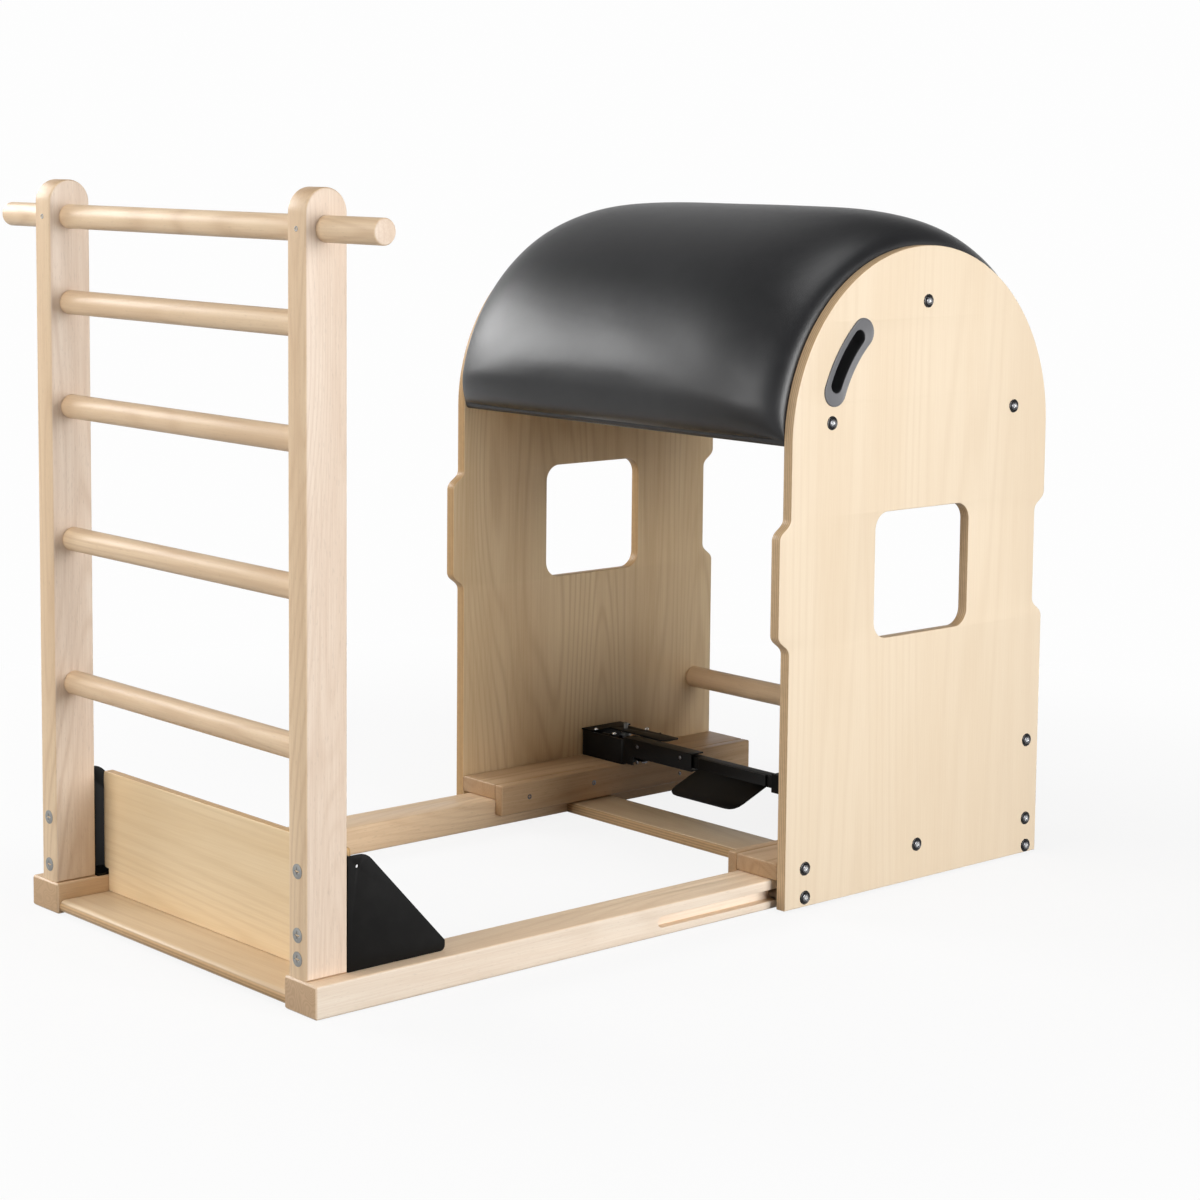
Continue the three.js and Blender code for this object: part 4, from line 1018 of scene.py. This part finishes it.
@dataclass
class SidePanels:
    """The barrel's arched panels with their windows, handles and bolts."""

    front: float = along(807)
    rear: float = along(1367)
    bottom: float = 0.003
    arch_z: float = 0.680
    band: Pair = (0.408, 0.544)
    blend: float = 0.031
    shift: float = 0.022
    edge: float = 0.0018
    window: Place = (0.206, 0.188, 0.026)
    handle_radius: float = 0.209
    handle_angles: Pair = (131.8, 159.6)
    handle_cut: float = 0.0144
    cup_short: float = 2.6
    flange: Pair = (18.2, 6.0)
    # Half width and depth in millimetres down the handle cup
    cup_rim: tuple = (
        (21.8, 2.0), (21.8, 1.0), (21.5, 0.4), (20.8, 0.0), (20.0, 0.1),
        (19.1, 0.7), (18.2, 0.9), (12.4, 1.3), (11.4, 1.7),
    )
    cup_wall: tuple = (
        (10.9, 2.6), (10.6, 4.5), (10.5, 7.0), (10.2, 20.0), (9.8, 29.0), (8.6, 30.6), (5.0, 31.0)
    )
    cup_outside: tuple = ((21.8, 2.0), (14.0, 2.0), (14.0, 34.0), (5.0, 34.0))
    # Millimetres behind the front edge and above the floor
    bolts: tuple = (
        (80, 708), (281, 878), (481, 711), (532, 183), (40, 60), (41, 17), (281, 57), (534, 58), (536, 14)
    )
    # Radius and height in millimetres, and for the socket how far it is a hexagon
    washer: tuple = ((0.0, 0.0), (10.2, 0.0), (10.2, 0.6), (9.8, 1.3), (8.8, 1.7), (7.2, 1.2), (6.4, 0.6))
    head: tuple = ((6.4, 0.6), (6.3, 1.3), (5.9, 2.1), (5.2, 2.6), (4.4, 2.8), (3.8, 2.85), (3.6, 2.7))
    socket: tuple = ((3.6, 2.7, 0.0), (3.4, 2.3, 1.0), (3.1, 1.6, 1.0), (0.0, 1.3, 1.0))
    bolt_sides: int = 36

    @property
    def middle(self) -> float:
        """The arch centre's X."""
        return (self.front + self.rear) / 2

    def build(self) -> None:
        """Builds both panels with what they carry."""
        # The near panel takes the painted light copy of the birch, the far panel the painted shade copy
        for side, look in ((Side.NEAR, Look.PANEL), (Side.FAR, Look.FAR_PANEL)):
            self._panel(side, look)
            self._handle(side)
            self._bolts(side)

    def _curve(self, start: Pair, end: Pair) -> np.ndarray:
        """An S curve between two heights: a cubic whose handles stand at half the height.

        Args:
            start: The point that it comes from.
            end: The point that it goes to.

        Returns:
            The points between the two.
        """
        t = np.linspace(0, 1, 19)[1:-1, None]
        (x0, z0), (x1, z1) = start, end
        middle = (z0 + z1) / 2
        handles = np.array([(x0, z0), (x0, middle), (x1, middle), (x1, z1)])
        weights = [(1 - t) ** 3, 3 * t * (1 - t) ** 2, 3 * t**2 * (1 - t), t**3]
        return sum(weight * handle for weight, handle in zip(weights, handles))

    def outline(self) -> np.ndarray:
        """The panel's outline: each straight side steps back by an S curve over its middle band.

        Returns:
            The loop, counter-clockwise in X and Z.
        """
        low, high = self.band
        foot, head = (0.0, low - self.blend), (0.0, high + self.blend)
        back_low, back_high = (-self.shift, low), (-self.shift, high)
        curves = self._curve(foot, back_low), self._curve(back_high, head)
        side = np.concatenate([[foot], curves[0], [back_low, back_high], curves[1], [head]])
        arch = arc((self.middle, self.arch_z), (self.rear - self.front) / 2, 0, 180, 144)
        corners = [(self.front, self.bottom), (self.rear, self.bottom)]
        return np.concatenate([corners, side + (self.rear, 0), arch, side[::-1] + (self.front, 0)])

    def slot(self, half_width: float, short: float = 0.0) -> np.ndarray:
        """A slot bent round the arch's centre, its ends half circles.

        Args:
            half_width: Half of the slot's width.
            short: How many degrees each end falls short of the handle's own.

        Returns:
            The loop, counter-clockwise in X and Z.
        """
        start, end = self.handle_angles[0] + short, self.handle_angles[1] - short
        centre = (self.middle, self.arch_z)
        start_tip, end_tip = arc(centre, self.handle_radius, start, end, 1)
        outer = arc(centre, self.handle_radius + half_width, start, end, 36)
        inner = arc(centre, self.handle_radius - half_width, end, start, 36)
        far_end = arc(end_tip, half_width, end, end + 180, 16)[1:-1]
        near_end = arc(start_tip, half_width, start + 180, start + 360, 16)[1:-1]
        return np.concatenate([outer, far_end, inner, near_end])

    def _panel(self, side: Side, look: Look) -> None:
        """Builds one panel: the outline less the window and the handle's slot, its edges rounded.

        Args:
            side: Its side.
            look: Its finish.
        """
        name = side.node("side_panel")
        low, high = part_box(name)
        width, height, radius = self.window
        centre = np.array((self.middle, sum(self.band) / 2))
        corner = np.array((width / 2, height / 2))
        window = rounded_rectangle(centre - corner, centre + corner, radius, 12)
        loops = [self.outline(), window[::-1], self.slot(self.handle_cut)[::-1]]
        surface = Surface().plate(loops, Axis.Y, low.y, high.y, self.edge, 3)
        surface.piece(f"{name}_board", "barrel", "ply", look, replaces=name)

    def _handle(self, side: Side) -> None:
        """Builds one handle cup: loops of changing width and depth, from the rim's outer foot over its crown,
        down the dished flange and the cup's wall. The cup falls short of the flange at both ends.

        Args:
            side: The panel's side.
        """
        name = side.node("handle_insert")
        face, inward = side.face("handle_insert"), -side.value
        full, fall = self.flange
        surface = Surface()
        wall = (self.cup_rim[-1], *self.cup_wall)
        # The rim and outside take the grey plastic; the cup's wall and floor, finish 1, take the painted
        # shade plastic
        for section, surface.finish in ((self.cup_rim, 0), (wall, 1), (self.cup_outside, 0)):
            rings = []
            for half_width, depth in section:
                short = self.cup_short * min(max((full - half_width) / fall, 0.0), 1.0)
                loop = self.slot(half_width * MM, short)
                rings.append(turned_loop(Axis.Y, *loop.T, face + inward * depth * MM))
            surface.grid(np.array(rings))
        for (half_width, depth), surface.finish in ((self.cup_wall[-1], 1), (self.cup_outside[-1], 0)):
            loop = self.slot(half_width * MM, self.cup_short)
            surface.cap([turned_loop(Axis.Y, *loop.T, face + inward * depth * MM)])
        looks = (Look.PLASTIC, Look.DARK_PLASTIC)
        surface.piece(f"{name}_cup", "barrel", "grey_plastic", *looks, replaces=name, crease=50.0)

    def _bolts(self, side: Side) -> None:
        """Builds the bolts: a dished washer round a domed head with a hexagonal socket, whose radius is that
        of its corners times the cosine of 30 degrees over the cosine of the angle from the flat's middle.

        Args:
            side: The panel's side.
        """
        face = side.face("side_panel")
        sixth = math.pi / 3
        angle = np.linspace(0, 2 * math.pi, self.bolt_sides, endpoint=False)
        flat = math.cos(sixth / 2) / np.cos((angle + sixth / 2) % sixth - sixth / 2)
        surface = Surface()
        for offset, height in self.bolts:
            centre = (self.front + offset * MM, face, height * MM)
            for surface.finish, profile in enumerate((self.washer, self.head)):
                rings = [(radius * MM, rise * MM) for radius, rise in profile]
                surface.lathe(rings, Axis.Y, centre, side.value, self.bolt_sides)
            # Painted highlight: the socket takes the bright plate, standing in for the glint in it
            surface.finish = 2
            rings = []
            for radius, rise, square in self.socket:
                spread = radius * MM * (1 + square * (flat - 1))
                first, second = spread * np.cos(angle), spread * np.sin(angle)
                rings.append(turned_loop(Axis.Y, first, second, side.value * rise * MM) + np.array(centre))
            surface.grid(np.array(rings))
        looks = (Look.DARK_BOLT, Look.GUNMETAL, Look.BRIGHT)
        surface.piece(side.node("panel_bolts"), "barrel", "bright_steel", *looks, crease=35.0)


@dataclass
class BarrelTop:
    """The crowned leather pad on its bent deck, with the spreaders and the rear rung."""

    panels: SidePanels
    arch_radius: float = 0.28
    edge_radius: float = 0.278
    underside: float = 0.2563
    crown: float = 0.0535
    crown_power: float = 5.0
    taper: float = 12.0
    roundness: float = 0.6
    hem: float = 0.009
    hem_steps: int = 7
    steps_round: int = 190
    steps_across: int = 97
    wave: float = 0.0005
    pressure: float = 4.0
    stiffness: float = 8.0
    swell: float = 0.0045
    frames: int = 20
    held_side: float = 0.05
    held_depth: float = 0.003
    held_levels: int = 8

    def build(self) -> None:
        """Builds the pad and the rung, and dresses what is under the pad."""
        self._pad()
        dress(Look.DECK, "barrel_deck", "spreader_front", "spreader_top", "spreader_rear")
        Rungs(("rear_rung",), "barrel").build()

    def _pad(self) -> None:
        """Builds the pad. Across it, the crown is the root of one less a power of the distance from the
        middle. Round the arch it grows out of the hem as a power of one less the square of what is left of
        the rise, which makes the lower lip round. The lower ends close in a quarter circle, and slow waves of
        under a millimetre keep the leather from looking machined. Cloth then swells it by the last few
        millimetres."""
        low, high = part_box("barrel_pad")
        half = high.y
        drop = math.asin((self.panels.arch_z - low.z) / self.arch_radius)
        hem = self.hem / self.edge_radius
        turn = np.linspace(0, math.pi / 2, self.hem_steps)
        start = -drop + hem * (1 - np.cos(turn))
        closing = self.hem * (1 - np.sin(turn))
        inner = np.linspace(-drop + hem, math.pi + drop - hem, self.steps_round)[1:-1]
        angle = np.concatenate([start, inner, math.pi - start[::-1]])
        closed = np.concatenate([closing, np.zeros(len(inner)), closing[::-1]])[:, None]
        share = -np.cos(np.linspace(0, math.pi, self.steps_across))[None, :]
        foot, full = math.sin(hem - drop), math.sin(math.radians(self.taper))
        rise = np.clip((np.sin(angle) - foot) / (full - foot), 0, 1)[:, None]
        grown = (1 - (1 - rise) ** 2) ** self.roundness
        bulge = np.sqrt(np.clip(1 - np.abs(share) ** self.crown_power, 0, 1))
        turned = angle[:, None]
        wave = self.wave * np.sin(9 * turned + 5 * share) * np.sin(7.3 * share + 2.1 * turned)
        radius = self.edge_radius + self.crown * bulge * grown + wave * bulge - closed
        under = self.underside + closed
        side = np.full(under.shape, half)
        rings_radius = np.hstack([radius, under, under])
        rings_across = np.hstack([np.broadcast_to(share * half, radius.shape), side, -side])
        x = self.panels.middle + rings_radius * np.cos(turned)
        z = self.panels.arch_z + rings_radius * np.sin(turned)
        points = np.stack([x, rings_across, z], axis=-1)
        surface = Surface().grid(points).cap([points[0]]).cap([points[-1]])
        node = "barrel_pad"
        pad = surface.piece("leather_pad", "barrel", "leather", Look.LEATHER, replaces=node, crease=55.0)
        self._inflate(pad, half)

    def _free(self, points: np.ndarray, half: float) -> np.ndarray:
        """How free the cloth is at each point, in a few levels: not at all underneath, and less and less
        toward its sides and hems.

        Args:
            points: The pad's points.
            half: Half of the pad's width.

        Returns:
            0 for a held point up to 1 for a free one.
        """
        x, z = points[:, 0] - self.panels.middle, points[:, 2] - self.panels.arch_z
        radius = np.hypot(x, z)
        sides = np.clip((half - np.abs(points[:, 1])) / self.held_side, 0, 1)
        hems = np.clip((z / radius / math.sin(math.radians(self.taper)) + 1.2) / 1.6, 0, 1)
        above = radius > self.edge_radius - self.held_depth
        return np.round(self.held_levels * sides * hems * above) / self.held_levels

    def _inflate(self, pad: bpy.types.Object, half: float) -> None:
        """Swells the cover as cloth under pressure. A point ends at its own way times the swell, times the
        hyperbolic tangent of that way over the swell, over the way, so that none goes further than the swell.

        Args:
            pad: The pad, whose mesh takes the new shape.
            half: Half of the pad's width.
        """
        mesh = pad.data
        start = np.empty(3 * len(mesh.vertices))
        mesh.vertices.foreach_get("co", start)
        start = start.reshape(-1, 3)
        free = self._free(start, half)
        group = pad.vertex_groups.new(name="held")
        for level in np.unique(free):
            group.add(np.flatnonzero(free == level).tolist(), float(1 - level), "REPLACE")
        cloth = pad.modifiers.new("cover", "CLOTH")
        cloth.settings.use_pressure = True
        cloth.settings.uniform_pressure_force = self.pressure
        cloth.settings.effector_weights.gravity = 0.0
        cloth.settings.vertex_group_mass = group.name
        cloth.settings.bending_stiffness = self.stiffness
        cloth.point_cache.frame_start, cloth.point_cache.frame_end = 1, self.frames
        for number in range(1, self.frames + 1):
            bpy.context.scene.frame_set(number)
        swollen = pad.evaluated_get(bpy.context.evaluated_depsgraph_get()).data
        end = np.empty(start.size)
        swollen.vertices.foreach_get("co", end)
        moved = end.reshape(-1, 3) - start
        way = np.linalg.norm(moved, axis=1, keepdims=True)
        kept = self.swell * np.tanh(way / self.swell) / np.maximum(way, 1e-9)
        pad.modifiers.remove(cloth)
        pad.vertex_groups.remove(group)
        bpy.context.scene.frame_set(1)
        mesh.vertices.foreach_set("co", (start + moved * kept).ravel())
        mesh.update()
        swell = way * kept / MM
        log.info("pad swelled by %.1f mm at most and %.1f mm in the middle", swell.max(), np.median(swell))


@dataclass
class Runners:
    """Runner blocks, keepers and tongues that carry the barrel along the rails."""

    edge: float = 0.002
    screws: tuple = ((865, 44.5), (1005, 47))  # millimetres behind the rails' front and above the floor
    shank: tuple = ((0.0042, -0.0004), (0.0, -0.0004))

    def build(self) -> None:
        """Builds the blocks, keepers and screws, and dresses the tongues."""
        for side in Side:
            for name, slot in (("runner_block", "beech"), ("keeper_board", "ply")):
                node = side.node(name)
                surface = Surface().block(*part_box(node), self.edge, Axis.X)
                # Blocks and keepers take the painted shade copy of the wood
                surface.piece(f"{node}_bar", "barrel", slot, Look.RUNNER, replaces=node)
            self._screws(side)
            dress(Look.TONGUE, side.node("guide_tongue"))

    def _screws(self, side: Side) -> None:
        """Builds the countersunk screws that hold a keeper board to its runner.

        Args:
            side: The board's side.
        """
        face = side.face("keeper_board", outward=False)
        screw = CrossScrew(0.0042, 0.0002, 0.0003, 0.0016, 0.0007, self.shank)
        surface = Surface()
        for distance, height in self.screws:
            screw.add(surface, Axis.Y, (along(distance), face, height * MM), -side.value)
        surface.piece(side.node("keeper_screws"), "barrel", "bright_steel", Look.GUNMETAL)


@dataclass
class Lock:
    """The pedal, its bar and brackets, and the sprung pins in their housings."""

    fold: float = 0.0009
    bar_edge: float = 0.0022
    head: Pair = (0.0038, 0.0022)
    button: Pair = (0.0032, 0.0018)
    # Millimetres behind the rails' front and off the middle, then off the middle and above the floor
    strap_screws: tuple = ((1076, 338), (1076, 292), (1145, 338), (1145, 286))
    bracket_screws: tuple = ((118, 106), (118, 80), (222, 106), (222, 80))
    tab: tuple[Pair, Pair, Pair] = ((1096, 1117), (0.0170, 0.0002), (0.0725, 0.0755))
    nut: tuple = (
        (0.0, 0.0), (0.0052, 0.0), (0.0056, 0.0005), (0.0056, 0.0035),
        (0.0052, 0.004), (0.003, 0.004), (0.003, 0.006), (0.0, 0.0064),
    )
    bolt: tuple = ((0.0, -0.003), (0.0056, -0.003), (0.0056, -0.0065), (0.005, -0.007), (0.0, -0.007))

    def build(self) -> None:
        """Rounds the folded steel, dresses the bushes and pins, and sets the small screws."""
        for side in Side:
            for name in ("latch_housing", "latch_strap", "pivot_bracket"):
                self._steel(side.node(name), "barrel", self.fold, 2)
            self._steel(side.node("crank_arm"), "pedal", self.fold, 2)
            dress(Look.NYLON, side.node("pivot_bush"), side.node("pin_bush"))
            dress(Look.ZINC, side.node("lock_pin"), side.node("lock_spring"))
            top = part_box(side.node("latch_strap"))[1].z
            places = [(along(x), side.value * y * MM, top) for x, y in self.strap_screws]
            self._screws(side.node("strap_screws"), places, Axis.Z, self.head, Look.BRIGHT)
            self._tab(side)
            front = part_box(side.node("pivot_bracket"))[0].x
            places = [(front, side.value * y * MM, z * MM) for y, z in self.bracket_screws]
            self._screws(side.node("bracket_screws"), places, Axis.X, self.button, Look.GUNMETAL)
        self._steel("crossbar", "pedal", self.bar_edge, 3)
        self._steel("pedal_plate", "pedal", self.fold, 2)

    def _steel(self, node: str, body: str, width: float, segments: int) -> None:
        """Builds a coated steel node with its edges rounded."""
        softened(node, body, "black_steel", Look.BLACK_STEEL, width, segments)

    def _screws(self, name: str, places: list[Place], axis: Axis, head: Pair, look: Look) -> None:
        """Builds pan-head screws that look up on Z, or forward on X.

        Args:
            name: The piece's name.
            places: The middles of their feet.
            axis: Their axis.
            head: The head's radius and height.
            look: Their finish.
        """
        surface = Surface()
        for place in places:
            surface.lathe(pan_head(*head), axis, place, 1.0 if axis is Axis.Z else -1.0, 24)
        surface.piece(name, "barrel", "bright_steel", look, crease=35.0)

    def _tab(self, side: Side) -> None:
        """Builds the tab at a housing's inner foot with the bolt through it.

        Args:
            side: The housing's side.
        """
        (front, rear), reach, (bottom, top) = self.tab
        wall = side.face("latch_housing", outward=False)
        low_y, high_y = sorted(wall - side.value * distance for distance in reach)
        plate = Surface().block((along(front), low_y, bottom), (along(rear), high_y, top), 0.0008, Axis.Z)
        plate.piece(side.node("latch_tab"), "barrel", "black_steel", Look.BLACK_STEEL)
        centre = (along((front + rear) / 2), (low_y + high_y) / 2, top)
        surface = Surface()
        for profile in (self.nut, self.bolt):
            surface.lathe(profile, Axis.Z, centre, 1.0, 6)
        surface.piece(side.node("latch_tab_bolt"), "barrel", "bright_steel", Look.GUNMETAL, crease=20.0)


@dataclass
class Studio:
    """White studio: floor, soft lights and the photograph's camera."""

    lens: float = 82.56
    sensor: float = 36.0
    place: Place = (RAIL_FRONT - 1.97253, -3.1057, 1.09955)
    heading: float = 48.46
    pitch: float = -6.08
    roll: float = 0.56
    drop: float = -0.1333
    white: float = 0.985
    soft: float = 0.06
    floor_half: float = 30.0
    floor_z: float = -0.0005
    # Place, target, size and power of each soft box: a key from the near side, a fill in front of the ladder,
    # one beyond the ladder that the leather mirrors, a weak one behind the barrel and a top one
    boxes: tuple = (
        ("key_light", (0.4, -4.6, 1.15), (0.1, 0.0, 0.5), (2.6, 1.9), 191.0),
        ("front_light", (-4.4, 0.5, 1.9), (0.0, 0.0, 0.5), (2.6, 2.2), 112.0),
        ("slope_light", (-1.25, 3.35, 2.05), (0.15, 0.0, 0.8), (2.5, 1.2), 84.0),
        ("rim_light", (1.6, 3.3, 3.3), (0.3, 0.0, 0.9), (2.8, 1.6), 5.0),
        ("top_light", (0.0, -0.4, 4.2), (0.0, 0.0, 0.4), (2.2, 2.2), 36.0),
    )

    def build(self) -> None:
        """Builds the whole studio."""
        self._camera()
        self._floor()
        self._world()
        self._lights()

    def _camera(self) -> None:
        """Builds the camera, turned by heading and pitch, then rolled."""
        yaw, tilt, roll = (math.radians(a) for a in (self.heading, self.pitch, self.roll))
        ahead = Vector((math.cos(tilt) * math.cos(yaw), math.cos(tilt) * math.sin(yaw), math.sin(tilt)))
        right = Vector((math.sin(yaw), -math.cos(yaw), 0.0))
        up = right.cross(ahead)
        rolled_right = math.cos(roll) * right + math.sin(roll) * up
        rolled_up = math.cos(roll) * up - math.sin(roll) * right
        data = bpy.data.cameras.new("photo_camera")
        data.lens = self.lens
        data.sensor_width = self.sensor
        data.shift_y = self.drop
        camera = linked("photo_camera", data)
        turn = Matrix((rolled_right, rolled_up, -ahead)).transposed().to_4x4()
        camera.matrix_world = Matrix.Translation(self.place) @ turn
        bpy.context.scene.camera = camera

    def _floor(self) -> None:
        """Builds a plain pale floor. It keeps a soft shadow near the object, and is all white further off."""
        mesh = bpy.data.meshes.new("studio_floor")
        corners = np.array([(-1, -1), (1, -1), (1, 1), (-1, 1)]) * self.floor_half
        mesh.from_pydata([(x, y, self.floor_z) for x, y in corners], [], [(0, 1, 2, 3)])
        floor = linked("studio_floor", mesh)
        white = bpy.data.materials.new("studio_white")
        mesh.materials.append(white)
        g = Graph(white)
        length = g.node("ShaderNodeVectorMath", {"operation": "LENGTH"}, {0: g.place}, output="Value")
        glow = g.node("ShaderNodeEmission", {}, {"Color": (1.0, 1.0, 1.0), "Strength": self.white})
        rays = g.node("ShaderNodeLightPath", output="Is Camera Ray")
        looked = rays.greatest(rays.other("Is Glossy Ray") * 0.5)
        shade = g.blend(looked, (0.28, 0.28, 0.28), (0.9, 0.9, 0.9))
        paper = g.node("ShaderNodeBsdfDiffuse", {}, {"Color": shade})
        seen = looked * (length.step(0.9, 2.0) * 0.12 + 0.88)
        g.mixed(seen, paper, glow, "ShaderNodeOutputMaterial")

    def _world(self) -> None:
        """Builds a world that is white where it is seen, and a plain soft light elsewhere. Gloss mirrors the
        white backdrop up to a third of the way overhead, and a dim ceiling above that."""
        world = bpy.data.worlds.new("studio")
        bpy.context.scene.world = world
        g = Graph(world)
        rays = g.node("ShaderNodeLightPath", output="Is Camera Ray")
        seen = rays.greatest(rays.other("Is Glossy Ray")).greatest(rays.other("Is Transmission Ray"))
        height = g.part(g.node("ShaderNodeTexCoord", output="Generated"), Axis.Z)
        dim = height.step(0.12, 0.48) * (1.0 - rays) * 0.82
        soft, white = (
            g.node("ShaderNodeBackground", {}, {"Color": (1.0, 1.0, 1.0), "Strength": strength})
            for strength in (self.soft, (1.0 - dim) * self.white)
        )
        g.mixed(seen, soft, white, "ShaderNodeOutputWorld")

    def _lights(self) -> None:
        """Builds the soft boxes, each turned to its target."""
        for name, place, target, size, power in self.boxes:
            data = bpy.data.lights.new(name, "AREA")
            data.shape = "RECTANGLE"
            data.size, data.size_y = size
            data.energy = power
            lamp = linked(name, data)
            lamp.location = place
            lamp.rotation_euler = (Vector(target) - Vector(place)).to_track_quat("-Z", "Y").to_euler()


def main() -> None:
    """Builds the studio and every sub-assembly in order, and logs each one."""
    logging.basicConfig(level=logging.INFO, format="%(name)s: %(message)s")
    bpy.context.scene.view_settings.view_transform = "Standard"
    panels = SidePanels()
    for assembly in (Studio(), Ladder(), FloorFrame(), panels, BarrelTop(panels), Runners(), Lock()):
        assembly.build()
        log.info("built %s", type(assembly).__name__)


if __name__ == "__main__":
    main()
